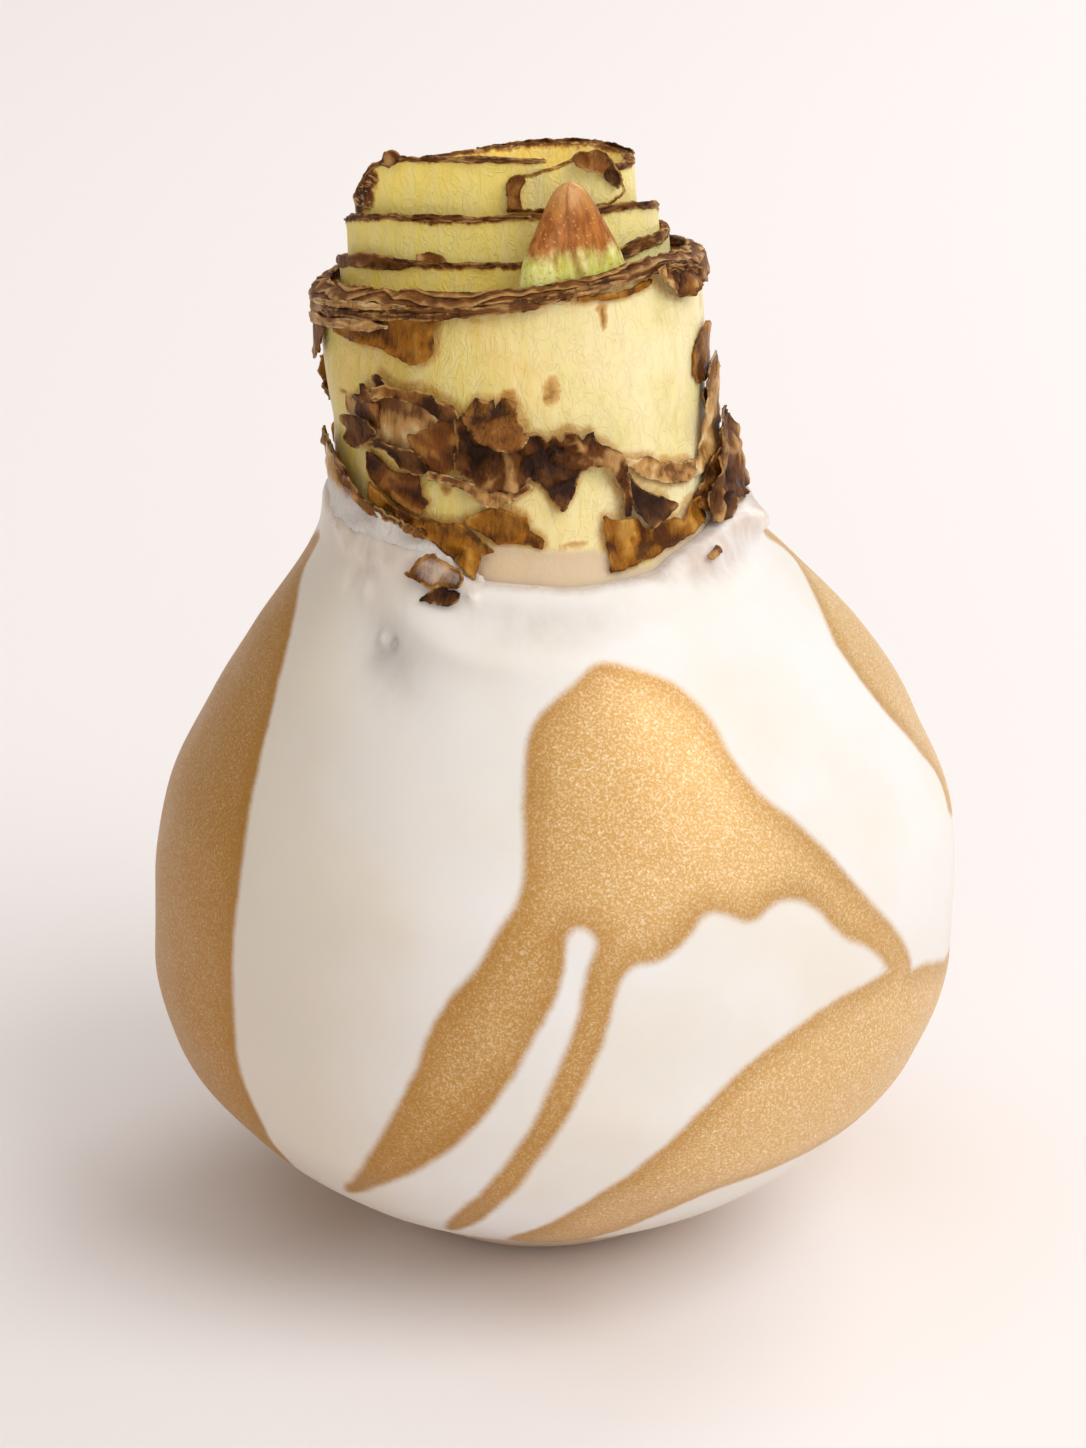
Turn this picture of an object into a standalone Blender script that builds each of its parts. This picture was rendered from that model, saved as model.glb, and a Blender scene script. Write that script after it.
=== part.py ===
# A waxed amaryllis bulb: a fleshy bulb dipped in wax, its neck left bare and cut across.
# Lengths below are in millimetres and azimuths in degrees: 0 is +X, 90 the back, 270 the front.
import bpy
import bmesh
import numpy as np
from mathutils import Vector, noise

MM = 0.001

# Driving dimensions
BELLY_RADIUS = 50.0
FOOT_RADIUS = 15.5
WAX_THICKNESS = 2.0
GAP = 0.3
PAPER_THICKNESS = 0.75
NECK_WALL = 1.8
# The floor inside the neck wall: its height in the middle, and how much it rises towards the front.
NECK_FLOOR = 117.0
NECK_FLOOR_SLOPE = 0.14
# How far the hollow in the top of the innermost scale sinks below its rim.
HEART_DEPTH = 5.5
# The free edge of the wax: how far it rounds over below its rim, and where its top line lies between the
# inner face (0) and the outer face (1).
WAX_LIP_DROP = 1.1
WAX_LIP_SHARE = 0.45
# The wax is thicker round the foot, by this factor, and the bulb's own plate is this much smaller.
WAX_FOOT_FACTOR = 1.3
PLATE_INSET = 1.5

# Outer skin of the wax: height, and radius as a share of the belly radius.
WAX_PROFILE = [(0, 0.31), (1.5, 0.372), (5, 0.478), (10, 0.646), (17, 0.81), (26, 0.946), (36, 0.998),
               (46, 1.0), (56, 0.968), (66, 0.882), (76, 0.76), (84, 0.632), (88, 0.574), (92, 0.53),
               (96, 0.51), (104, 0.5)]
# Bare flesh above the shoulder: height and radius.
FLESH_PROFILE = [(84, 29.3), (88, 26.2), (92, 24.0), (96, 23.2), (101, 23.0), (105, 22.5), (108, 22.7),
                 (112, 23.0), (116, 23.1), (120, 23.0), (124, 22.6), (130, 22.4)]
SHOULDER = 84.0
# Above this height the rings of the neck follow its sloping rim.
LEVEL_NECK = 113.0
ROUGHNESS = {"wax": 0.35, "flesh": 0.45, "bud": 0.35, "paper": 0.6}

# The neck leans to the left and a little back: height and offset of its centre.
LEAN_X = [(0, -1.8), (20, -0.9), (45, 0), (70, 0.6), (84, -0.6), (95, -2.6), (108, -4.5), (122, -5.3),
          (132, -6.2), (140, -6.9)]
LEAN_Y = [(0, 0), (70, 0), (84, 0.2), (95, 0.8), (108, 2.4), (122, 4.6), (132, 6.4), (140, 7.6)]
# The neck is a little flatter front to back than it is wide.
DEPTH_RATIO = [(0, 1.0), (80, 1.0), (100, 0.96), (122, 0.9), (140, 0.9)]

# Azimuth and height of the edges that run round the neck.
WAX_RIM = [(0, 95.6), (40, 93.8), (75, 92.2), (110, 94.0), (150, 95.6), (185, 96.2), (208, 95.7),
           (225, 95.8), (238, 95.4), (246, 94.0), (255, 92.5), (270, 92.2), (280, 91.9), (292, 92.1),
           (304, 92.3), (312, 93.4), (330, 94.6), (345, 95.5)]
NECK_RIM = [(0, 124.0), (45, 120.8), (90, 118.8), (135, 118.5), (180, 119.6), (225, 122.6), (270, 124.9),
            (315, 126.3)]

# Each cut scale: half width, half depth, wall, and its rim as azimuth and height.
SCALE_CENTRE_X = [(115, -4.9), (122, -5.8), (130, -6.3), (138, -6.7)]
SCALE_CENTRE_Y = [(115, 5.4), (122, 6.0), (130, 6.9), (138, 7.2)]
SCALES = {
    "leaf_base_outer": {"half_width": 20.2, "half_depth": 12.3, "wall": 0.7, "colour": (0.84, 0.79, 0.45),
                        "rim": [(0, 127.4), (60, 123.6), (120, 121.6), (180, 123.4), (225, 125.6),
                                (270, 126.2), (300, 126.2), (330, 127.4)]},
    "leaf_base_middle": {"half_width": 19.1, "half_depth": 10.6, "wall": 0.7, "colour": (0.86, 0.8, 0.48),
                         "rim": [(0, 129.5), (60, 127.0), (120, 126.2), (180, 128.0), (225, 130.6),
                                 (270, 131.3), (315, 131.6), (340, 131.0)]},
    "leaf_base_inner": {"half_width": 16.6, "half_depth": 7.0, "wall": 1.2, "colour": (0.88, 0.82, 0.55),
                        "rim": [(0, 135.6), (45, 135.9), (90, 135.0), (135, 133.4), (180, 131.0),
                                (225, 133.4), (270, 135.2), (300, 135.4), (330, 135.5)]},
}
SCALE_TAPER = 0.03
WRAP = {"half_width": 18.0, "half_depth": 8.7, "wall": 0.8, "from": 110, "to": 289,
        "colour": (0.87, 0.8, 0.5),
        "rim": [(110, 130.2), (150, 130.0), (180, 130.6), (196, 132.6), (214, 136.2), (232, 137.5),
                (270, 137.9), (289, 137.7)]}

# The bud: height, half width and half depth; it leans a little as it rises.
BUD_SECTIONS = [(119.75, 6.6, 2.8), (122.2, 6.9, 2.8), (124.6, 7.0, 2.8), (127, 6.5, 2.8), (129.5, 5.4, 2.6),
                (131.7, 4.2, 2.4), (133.6, 3.2, 2.0), (135.3, 2.2, 1.5), (136.3, 1.2, 0.9)]
BUD_TIP = 136.7
BUD_FOOT_AT = (2.45, -8.95)
BUD_TIP_AT = (1.8, -7.5)
BUD_TURN = np.radians(25)
BUD_EDGE_SHARPNESS = 0.88

# Round swellings and dents in the wax: azimuth, height, spread in degrees, spread in height, amount.
WAX_RELIEF = [(352, 62.5, 22, 3.2, -0.4), (352, 55, 22, 4.0, 0.45), (262, 86.5, 17, 1.6, 0.5),
              (228, 82, 11, 4.5, -0.6), (352, 96, 24, 4.0, 1.5), (349, 93.4, 6, 1.5, 2.0),
              (318, 60, 26, 9, 0.35), (205, 48, 24, 10, -0.35), (60, 52, 25, 10, 0.4),
              (120, 70, 25, 9, -0.45), (90, 30, 30, 8, 0.35),
              (262, 12, 24, 5, 0.3), (20, 20, 26, 6, -0.3)]

# Dry papery pieces on the neck. Each station: azimuth, lower edge, upper edge, and how far the outside of
# the piece stands off the flesh at its lower and at its upper edge.
PAPERS = {
    "tunic_flap_left": {"colour": (0.42, 0.24, 0.1), "steps": 14, "lanes": 3, "crumple": 0.12, "stations": [
        (196, 116.4, 117.4, 1.6, 1.05), (204, 115.8, 118.3, 1.8, 1.05), (214, 116.2, 119.2, 1.7, 1.05),
        (224, 117.0, 120.1, 1.5, 1.05), (232, 116.4, 120.9, 1.6, 1.05), (240, 116.3, 121.6, 1.8, 1.05),
        (245, 117.4, 122.1, 1.7, 1.05)]},
    "tunic_tag_left": {"colour": (0.4, 0.23, 0.11), "steps": 5, "lanes": 3, "crumple": 0.0, "stations": [
        (184, 113.2, 116.0, 2.1, 1.05), (188, 112.8, 116.2, 2.2, 1.05), (192, 113.8, 116.1, 2.0, 1.05)]},
    "outer_scale_left": {"colour": (0.72, 0.58, 0.33), "steps": 14, "lanes": 3, "crumple": 0.05, "stations": [
        (194, 104.6, 109.0, 1.05, 1.3), (208, 104.2, 111.2, 1.05, 1.4), (222, 104.4, 113.0, 1.05, 1.4),
        (232, 105.0, 113.2, 1.05, 1.3)]},
    "tunic_band_front": {"colour": (0.2, 0.1, 0.05), "steps": 34, "lanes": 4, "crumple": 0.3, "stations": [
        (234.5, 103.8, 108.5, 1.1, 1.05), (240, 103.6, 112.4, 1.1, 1.05), (247, 103.4, 111.9, 1.2, 1.05),
        (253, 102.8, 109.8, 1.3, 1.1), (260, 101.4, 106.9, 1.4, 1.2), (266, 102.4, 106.7, 1.4, 1.2),
        (272, 103.2, 107.2, 1.3, 1.2), (277, 101.9, 109.3, 1.4, 1.5), (281, 100.1, 108.4, 1.5, 1.6),
        (284, 101.6, 108.6, 1.5, 1.6), (288, 104.5, 109.0, 1.4, 1.6), (293, 105.1, 108.6, 1.3, 1.5),
        (298, 104.3, 106.6, 1.2, 1.4), (303, 101.3, 105.2, 1.2, 1.5), (307, 99.9, 103.4, 1.1, 1.4)]},
    "tunic_curl_front": {"colour": (0.45, 0.31, 0.19), "steps": 9, "lanes": 4, "crumple": 0.1, "stations": [
        (253.5, 110.7, 112.0, 2.0, 1.6), (258, 109.3, 112.9, 2.9, 1.2), (263, 108.1, 113.2, 3.4, 1.05),
        (268, 107.7, 113.3, 3.5, 1.05), (272, 108.1, 111.6, 3.2, 1.5), (275, 109.0, 110.2, 2.7, 2.0)]},
    "tunic_twist_right": {"colour": (0.22, 0.12, 0.07), "steps": 7, "lanes": 3, "crumple": 0.1, "stations": [
        (309, 97.6, 103.4, 1.5, 1.2), (313, 97.3, 102.1, 1.5, 1.1), (319, 97.9, 100.4, 1.5, 1.05),
        (325, 98.5, 99.4, 1.9, 1.6)]},
    "tunic_flake_left": {"colour": (0.5, 0.3, 0.08), "steps": 8, "lanes": 3, "crumple": 0.06, "stations": [
        (251, 98.9, 100.0, 1.05, 1.05), (258, 96.6, 100.7, 1.05, 1.1), (266, 96.2, 99.6, 1.05, 1.05),
        (272, 96.0, 98.2, 1.05, 1.05), (277, 95.8, 97.0, 1.05, 1.2)]},
    "tunic_flake_right": {"colour": (0.5, 0.3, 0.1), "steps": 14, "lanes": 3, "crumple": 0.08, "stations": [
        (296, 92.8, 99.0, 1.05, 1.5), (303, 92.9, 98.2, 1.05, 1.3), (307, 93.3, 97.0, 1.05, 1.1),
        (312, 94.1, 96.6, 1.05, 1.1), (320, 94.7, 97.6, 1.05, 1.2), (328, 95.1, 98.2, 1.1, 1.3),
        (335, 95.6, 98.6, 1.2, 1.4)]},
    "tunic_strip_right": {"colour": (0.62, 0.47, 0.28), "steps": 6, "lanes": 4, "crumple": 0.05, "stations": [
        (341, 102.6, 108.4, 1.05, 1.3), (346, 103.0, 112.0, 1.05, 1.5), (352, 105.6, 111.4, 1.05, 1.8),
        (358, 106.0, 109.4, 1.1, 2.0)]},
    "outer_scale_right": {
        "colour": (0.26, 0.14, 0.07), "steps": 13, "lanes": 4, "crumple": 0.14, "stations": [
        (338, 95.5, 98.2, 2.7, 2.2), (344, 95.7, 101.4, 3.2, 2.3), (350, 95.8, 104.6, 3.5, 2.3),
        (357, 95.9, 105.0, 3.6, 2.4), (364, 95.7, 101.2, 3.5, 2.9), (372, 95.1, 102.8, 3.1, 2.4),
        (381, 94.6, 98.8, 2.7, 2.2)]},
    "tunic_skirt_left": {"colour": (0.48, 0.34, 0.24), "steps": 18, "lanes": 3, "crumple": 0.1, "stations": [
        (183, 96.9, 103.4, 1.9, 1.6), (198, 96.5, 103.0, 1.7, 1.3), (208, 96.2, 102.6, 1.5, 1.2),
        (214, 96.2, 100.5, 1.4, 1.2), (223, 96.3, 99.2, 1.3, 1.2), (234, 96.1, 98.4, 1.3, 1.2),
        (242, 95.4, 98.2, 1.4, 1.2), (249, 94.3, 98.0, 1.4, 1.2), (255, 93.2, 95.6, 1.4, 1.2)]},
    "tunic_band_back": {"colour": (0.24, 0.13, 0.07), "steps": 34, "lanes": 4, "crumple": 0.3, "stations": [
        (28, 100.0, 104.6, 1.2, 1.1), (40, 100.8, 106.4, 1.3, 1.1), (52, 99.6, 107.6, 1.4, 1.1),
        (64, 101.6, 108.4, 1.3, 1.3), (76, 102.4, 106.0, 1.2, 1.2), (90, 100.8, 107.8, 1.4, 1.3),
        (104, 102.6, 109.8, 1.3, 1.2), (118, 101.4, 106.8, 1.4, 1.1), (132, 103.0, 108.6, 1.2, 1.1),
        (146, 102.6, 110.2, 1.3, 1.2), (160, 104.2, 109.0, 1.2, 1.1), (172, 105.0, 108.0, 1.1, 1.05)]},
    "tunic_skirt_back": {"colour": (0.5, 0.33, 0.17), "steps": 24, "lanes": 3, "crumple": 0.1, "stations": [
        (30, 95.0, 98.4, 1.5, 1.3), (48, 94.2, 97.4, 1.3, 1.2), (64, 93.4, 98.6, 1.3, 1.2),
        (80, 93.0, 99.2, 1.3, 1.2), (96, 93.8, 97.6, 1.3, 1.2), (112, 94.8, 98.8, 1.3, 1.2),
        (130, 95.6, 99.8, 1.4, 1.2), (150, 96.2, 100.6, 1.5, 1.3), (168, 96.6, 102.4, 1.6, 1.4)]},
    "tunic_flake_back": {"colour": (0.46, 0.3, 0.16), "steps": 10, "lanes": 3, "crumple": 0.12, "stations": [
        (96, 111.4, 113.4, 1.6, 1.1), (106, 110.9, 114.6, 2.0, 1.05), (116, 111.0, 115.2, 2.3, 1.05),
        (126, 111.8, 114.4, 2.0, 1.1)]},
}
# The dry rim folded over the neck's cut edge. Its outer side from the lower edge over the top to the inner
# edge: stand-off, share of the drop to the lower edge, height above the cut edge, and how far it puffs out.
COLLAR_FOLD = [(1.05, 1.0, 0.0, 1.0), (1.15, 0.5, 0.1, 1.0), (1.05, 0.0, 0.3, 1.0), (0.4, 0.0, 1.1, 0.6),
               (-0.5, 0.0, 1.6, 0.0), (-1.3, 0.0, 1.9, 0.0)]
COLLAR = {"from": 100, "to": 444, "steps": 44, "colour": (0.28, 0.16, 0.09), "crumple": 0.22,
          "lower_edge": [(0, -3.4), (30, -2.4), (60, -1.8), (120, -2.4), (180, -2.7), (225, -1.8),
                         (270, -1.0), (315, -0.9), (335, -1.6)]}
# Chips of dry skin lying on the wax: same stations as the papery pieces, measured from the wax.
CHIPS = {
    "tunic_chip_upper": {"colour": (0.42, 0.3, 0.2), "steps": 6, "lanes": 3, "stations": [
        (231, 90.0, 91.2, 1.05, 1.05), (235, 89.4, 92.4, 1.05, 1.1), (240, 90.3, 93.0, 1.1, 1.3)]},
    "tunic_chip_lower": {"colour": (0.22, 0.11, 0.05), "steps": 6, "lanes": 3, "stations": [
        (236, 87.6, 88.6, 1.05, 1.05), (242, 87.4, 89.4, 1.05, 1.2), (248, 88.2, 89.2, 1.05, 1.1)]},
}

WAX_COLUMNS = 60
FLESH_COLUMNS = 60
SCALE_COLUMNS = 40
BUD_COLUMNS = 20


def smooth(stations, at):
    """A curve through the stations that never overshoots them."""
    table = np.array(stations, float)
    x, y = table[:, 0], table[:, 1]
    at = np.clip(np.asarray(at, float), x[0], x[-1])
    rise = np.diff(y) / np.diff(x)
    slope = np.concatenate([rise[:1], np.zeros(len(x) - 2), rise[-1:]])
    same_way = rise[:-1] * rise[1:] > 0
    both = np.where(same_way, rise[:-1] + rise[1:], 1.0)
    slope[1:-1] = np.where(same_way, 2 * rise[:-1] * rise[1:] / both, 0.0)
    k = np.clip(np.searchsorted(x, at, side="right") - 1, 0, len(x) - 2)
    step = x[k + 1] - x[k]
    t = (at - x[k]) / step
    return (y[k] * (1 + 2 * t) * (1 - t) ** 2 + y[k + 1] * t * t * (3 - 2 * t)
            + step * (slope[k] * t * (1 - t) ** 2 - slope[k + 1] * t * t * (1 - t)))


def around(stations, azimuth):
    """The same kind of curve, closed round the neck."""
    table = [(a - 360, v) for a, v in stations] + list(stations) + [(a + 360, v) for a, v in stations]
    return smooth(table, np.mod(azimuth, 360))


def place(azimuth, height, radius):
    """A point at this radius from the leaning centre line."""
    a = np.radians(azimuth)
    height = height + 0 * a
    x = smooth(LEAN_X, height) + radius * np.cos(a)
    y = smooth(LEAN_Y, height) + radius * np.sin(a) * smooth(DEPTH_RATIO, height)
    return np.stack([x, y, height], -1)


def flesh_radius(height):
    """Radius of the bulb: inside the wax up to the shoulder, then the bare neck."""
    inside = BELLY_RADIUS * smooth(WAX_PROFILE, height) - WAX_THICKNESS - GAP
    return np.where(height < SHOULDER, inside, smooth(FLESH_PROFILE, height))


def relief(azimuth, height):
    """Soft swellings and dents of the dipped wax."""
    total = 0 * (azimuth + height)
    for at, level, spread, rise, amount in WAX_RELIEF:
        turn = (azimuth - at + 180) % 360 - 180
        total = total + amount * np.exp(-(turn / spread) ** 2 - ((height - level) / rise) ** 2)
    return total


def wax_radius(azimuth, height):
    return BELLY_RADIUS * smooth(WAX_PROFILE, height) + relief(azimuth, height)


def finish(name, points, triangles, colour, roughness):
    """One closed mesh object with its own material."""
    mesh = bpy.data.meshes.new(name)
    mesh.from_pydata([tuple(float(v) * MM for v in p) for p in points], [], triangles)
    shape = bmesh.new()
    shape.from_mesh(mesh)
    bmesh.ops.recalc_face_normals(shape, faces=shape.faces)
    shape.to_mesh(mesh)
    shape.free()
    mesh.shade_smooth()
    mesh.set_sharp_from_angle(angle=np.radians(50))
    material = bpy.data.materials.new(name)
    material.use_nodes = True
    shader = material.node_tree.nodes["Principled BSDF"]
    shader.inputs["Base Color"].default_value = (*colour, 1)
    shader.inputs["Roughness"].default_value = roughness
    shader.inputs["Metallic"].default_value = 0.0
    mesh.materials.append(material)
    body = bpy.data.objects.new(name, mesh)
    bpy.context.collection.objects.link(body)
    return body


def turned(name, rings, colour, roughness, looped=False):
    """Rings of points joined into a closed skin. A ring of one point is a pole."""
    points, starts, triangles = [], [], []
    for ring in rings:
        starts.append(len(points))
        points.extend(ring)
    pairs = [(k, k + 1) for k in range(len(rings) - 1)]
    if looped:
        pairs.append((len(rings) - 1, 0))
    for lower, upper in pairs:
        a, b = starts[lower], starts[upper]
        count = max(len(rings[lower]), len(rings[upper]))
        for i in range(count):
            j = (i + 1) % count
            if len(rings[lower]) == 1:
                triangles.append((a, b + j, b + i))
            elif len(rings[upper]) == 1:
                triangles.append((a + i, a + j, b))
            else:
                triangles.append((a + i, a + j, b + j))
                triangles.append((a + i, b + j, b + i))
    return finish(name, points, triangles, colour, roughness)


def sheet(name, outer, inner, colour, roughness):
    """A thin closed piece between two grids of points, split into triangles alike on both faces."""
    steps, lanes = outer.shape[:2]
    points = list(outer.reshape(-1, 3)) + list(inner.reshape(-1, 3))
    far = steps * lanes
    triangles = []
    for i in range(steps - 1):
        for k in range(lanes - 1):
            a, b = i * lanes + k, (i + 1) * lanes + k
            triangles += [(a, b, b + 1), (a, b + 1, a + 1)]
            triangles += [(far + a, far + b + 1, far + b), (far + a, far + a + 1, far + b + 1)]
    border = [k for k in range(lanes)]
    border += [i * lanes + lanes - 1 for i in range(1, steps)]
    border += [(steps - 1) * lanes + k for k in range(lanes - 2, -1, -1)]
    border += [i * lanes for i in range(steps - 2, 0, -1)]
    for a, b in zip(border, border[1:] + border[:1]):
        triangles += [(a, b, far + b), (a, far + b, far + a)]
    return finish(name, points, triangles, colour, roughness)


def crumple(azimuth, height, seed):
    """Even but irregular folds, between -1 and 1."""
    folds = [noise.noise(Vector((a * 0.17, h * 0.4, seed))) for a, h in zip(azimuth.flat, height.flat)]
    return np.array(folds).reshape(azimuth.shape)


def make_wax_coat():
    turn = np.arange(WAX_COLUMNS) * 360 / WAX_COLUMNS
    rim = around(WAX_RIM, turn)
    foot = place(turn, 0, FOOT_RADIUS)
    rings = [foot.mean(axis=0, keepdims=True), foot]
    for height in (1.5, 4.5, 9, 14, 20, 27, 34, 41, 48, 55, 61, 67, 73, 79, SHOULDER):
        rings.append(place(turn, height, wax_radius(turn, height)))
    for share in (0.4, 0.75, 1.0):
        height = SHOULDER + share * (rim - WAX_LIP_DROP - SHOULDER)
        rings.append(place(turn, height, wax_radius(turn, height)))
    outside = wax_radius(turn, rim)
    inside = flesh_radius(rim) + GAP
    rings.append(place(turn, rim, inside + WAX_LIP_SHARE * (outside - inside)))
    for share in (0.97, 0.55, 0.0):
        height = SHOULDER + share * (rim - SHOULDER)
        rings.append(place(turn, height, flesh_radius(height) + GAP))
    for height in (76, 66, 54, 40, 27, 16, 8, WAX_THICKNESS):
        shell = WAX_THICKNESS * (1 if height > WAX_THICKNESS else WAX_FOOT_FACTOR)
        rings.append(place(turn, height, BELLY_RADIUS * smooth(WAX_PROFILE, height) - shell))
    rings.append(rings[-1].mean(axis=0, keepdims=True))
    turned("wax_coat", rings, (0.86, 0.8, 0.72), ROUGHNESS["wax"])


def on_floor(ring, gap):
    """The same ring, set down on the sloping floor inside the neck."""
    ring[:, 2] = NECK_FLOOR + gap - NECK_FLOOR_SLOPE * (ring[:, 1] - smooth(LEAN_Y, NECK_FLOOR))
    return ring


def make_bulb_body():
    turn = np.arange(FLESH_COLUMNS) * 360 / FLESH_COLUMNS
    rim = around(NECK_RIM, turn)
    plate = place(turn, WAX_THICKNESS + GAP, FOOT_RADIUS - PLATE_INSET)
    rings = [plate.mean(axis=0, keepdims=True), plate]
    for height in (8, 16, 27, 40, 54, 66, 76, SHOULDER, 88, 92, 96, 102, 105, 108, LEVEL_NECK):
        rings.append(place(turn, height, flesh_radius(np.float64(height))))
    for share in (0.5, 1.0):
        height = LEVEL_NECK + share * (rim - LEVEL_NECK)
        rings.append(place(turn, height, flesh_radius(height)))
    rings.append(place(turn, rim, flesh_radius(rim) - NECK_WALL))
    rings.append(on_floor(place(turn, NECK_FLOOR, flesh_radius(np.float64(NECK_FLOOR)) - NECK_WALL), 0))
    rings.append(rings[-1].mean(axis=0, keepdims=True))
    turned("bulb_body", rings, (0.85, 0.79, 0.47), ROUGHNESS["flesh"])


def scale_wall(turn, height, half_width, half_depth):
    """A ring of a cut scale, at its own leaning centre."""
    a = np.radians(turn)
    height = height + 0 * a
    shrink = 1 - SCALE_TAPER * (height - NECK_FLOOR) / (BUD_TIP - NECK_FLOOR)
    x = smooth(SCALE_CENTRE_X, height) + half_width * shrink * np.cos(a)
    y = smooth(SCALE_CENTRE_Y, height) + half_depth * shrink * np.sin(a)
    return np.stack([x, y, height], -1)


def make_leaf_bases():
    turn = np.arange(SCALE_COLUMNS) * 360 / SCALE_COLUMNS
    for name, scale in SCALES.items():
        wide, deep, wall = scale["half_width"], scale["half_depth"], scale["wall"]
        rim = around(scale["rim"], turn)
        foot = on_floor(scale_wall(turn, NECK_FLOOR, wide, deep), GAP)
        half = 0.5 * (foot[:, 2] + rim)
        rings = [foot, scale_wall(turn, half, wide, deep), scale_wall(turn, rim, wide, deep)]
        rings.append(scale_wall(turn, rim, wide - wall, deep - wall))
        if name == "leaf_base_inner":
            heart = scale_wall(turn, rim - HEART_DEPTH, wide - 1.5 * wall, deep - 1.5 * wall)
            rings = [foot.mean(axis=0, keepdims=True)] + rings + [heart, heart.mean(axis=0, keepdims=True)]
        else:
            rings.append(scale_wall(turn, half, wide - wall, deep - wall))
            rings.append(on_floor(scale_wall(turn, NECK_FLOOR, wide - wall, deep - wall), GAP))
        turned(name, rings, scale["colour"], ROUGHNESS["flesh"], looped=name != "leaf_base_inner")
    turn = np.linspace(WRAP["from"], WRAP["to"], 26)
    rim = smooth(WRAP["rim"], turn)
    faces = []
    for inset in (0, WRAP["wall"]):
        wide, deep = WRAP["half_width"] - inset, WRAP["half_depth"] - inset
        foot = on_floor(scale_wall(turn, NECK_FLOOR, wide, deep), GAP)
        levels = [foot[:, 2] + share * (rim - foot[:, 2]) for share in (0.4, 0.75, 1)]
        faces.append(np.stack([foot] + [scale_wall(turn, level, wide, deep) for level in levels], 1))
    sheet("leaf_base_wrap", *faces, WRAP["colour"], ROUGHNESS["flesh"])


def make_bud():
    a = np.arange(BUD_COLUMNS) * 2 * np.pi / BUD_COLUMNS
    foot_height = BUD_SECTIONS[0][0]

    def centre(height):
        share = (height - foot_height) / (BUD_TIP - foot_height)
        return [f + share * (t - f) for f, t in zip(BUD_FOOT_AT, BUD_TIP_AT)]

    rings = [np.array([[*centre(foot_height), foot_height]])]
    for height, half_width, half_depth in BUD_SECTIONS:
        x, y = centre(height)
        across = half_width * np.sign(np.cos(a)) * np.abs(np.cos(a)) ** BUD_EDGE_SHARPNESS
        along = half_depth * np.sin(a)
        turned_x = across * np.cos(BUD_TURN) - along * np.sin(BUD_TURN)
        turned_y = across * np.sin(BUD_TURN) + along * np.cos(BUD_TURN)
        rings.append(np.stack([x + turned_x, y + turned_y, height + 0 * a], -1))
    rings.append(np.array([[*BUD_TIP_AT, BUD_TIP]]))
    turned("flower_bud", rings, (0.5, 0.27, 0.15), ROUGHNESS["bud"])


def make_papers(pieces, base_radius):
    """Strips of dry skin, each between a lower and an upper edge, standing off what they lie on."""
    for number, (name, piece) in enumerate(pieces.items()):
        stations = np.array(piece["stations"], float)
        turn = np.linspace(stations[0, 0], stations[-1, 0], piece["steps"])
        low, high, off_low, off_high = [smooth(stations[:, (0, c)], turn)[:, None] for c in (1, 2, 3, 4)]
        across = np.linspace(0, 1, piece["lanes"])[None, :]
        height = low + (high - low) * across
        azimuth = turn[:, None] + 0 * height
        off = off_low + (off_high - off_low) * across
        off = off + piece.get("crumple", 0) * (1 + crumple(azimuth, height, 3.7 * number))
        radius = base_radius(azimuth, height)
        outer = place(azimuth, height, radius + off)
        inner = place(azimuth, height, radius + off - PAPER_THICKNESS)
        sheet(name, outer, inner, piece["colour"], ROUGHNESS["paper"])


def make_collar():
    turn = np.linspace(COLLAR["from"], COLLAR["to"], COLLAR["steps"])
    rim = around(NECK_RIM, turn)
    low = around(COLLAR["lower_edge"], turn)
    fold = np.array(COLLAR_FOLD)
    shape = fold[:, (0, 2)] + fold[:, 1:2] * (0, -1)
    path = np.gradient(shape, axis=0)
    path /= np.linalg.norm(path, axis=1, keepdims=True)
    inward = PAPER_THICKNESS * np.stack([-path[:, 1], path[:, 0]], -1)
    outer, inner = [], []
    for k, (off, drop, rise, puff) in enumerate(fold):
        out = COLLAR["crumple"] * puff * (1 + crumple(turn, 0 * turn + 4 * k, 11.0))
        lift = COLLAR["crumple"] * (1 - puff) * (1 + crumple(turn, 0 * turn + 4 * k, 17.0))
        height = rim + rise + drop * low + lift
        base = flesh_radius(rim)
        outer.append(place(turn, height, base + off + out))
        inner.append(place(turn, height + inward[k, 1], base + off + out + inward[k, 0]))
    sheet("tunic_collar", np.stack(outer, 1), np.stack(inner, 1), COLLAR["colour"], ROUGHNESS["paper"])


def main():
    for leftover in list(bpy.data.objects):
        bpy.data.objects.remove(leftover)
    make_wax_coat()
    make_bulb_body()
    make_leaf_bases()
    make_bud()
    make_collar()
    make_papers(PAPERS, lambda azimuth, height: flesh_radius(height))
    make_papers(CHIPS, wax_radius)


main()
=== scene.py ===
# Looks of the waxed amaryllis bulb: its wax with soft gold, the cut neck, the bud and the dry skins.
# Lengths are in millimetres until a mesh is made. Azimuths are in degrees: 0 is +X, 90 the back and
# 270 the front.
import math
import bpy
import numpy as np
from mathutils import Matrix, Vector, kdtree, noise


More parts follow.
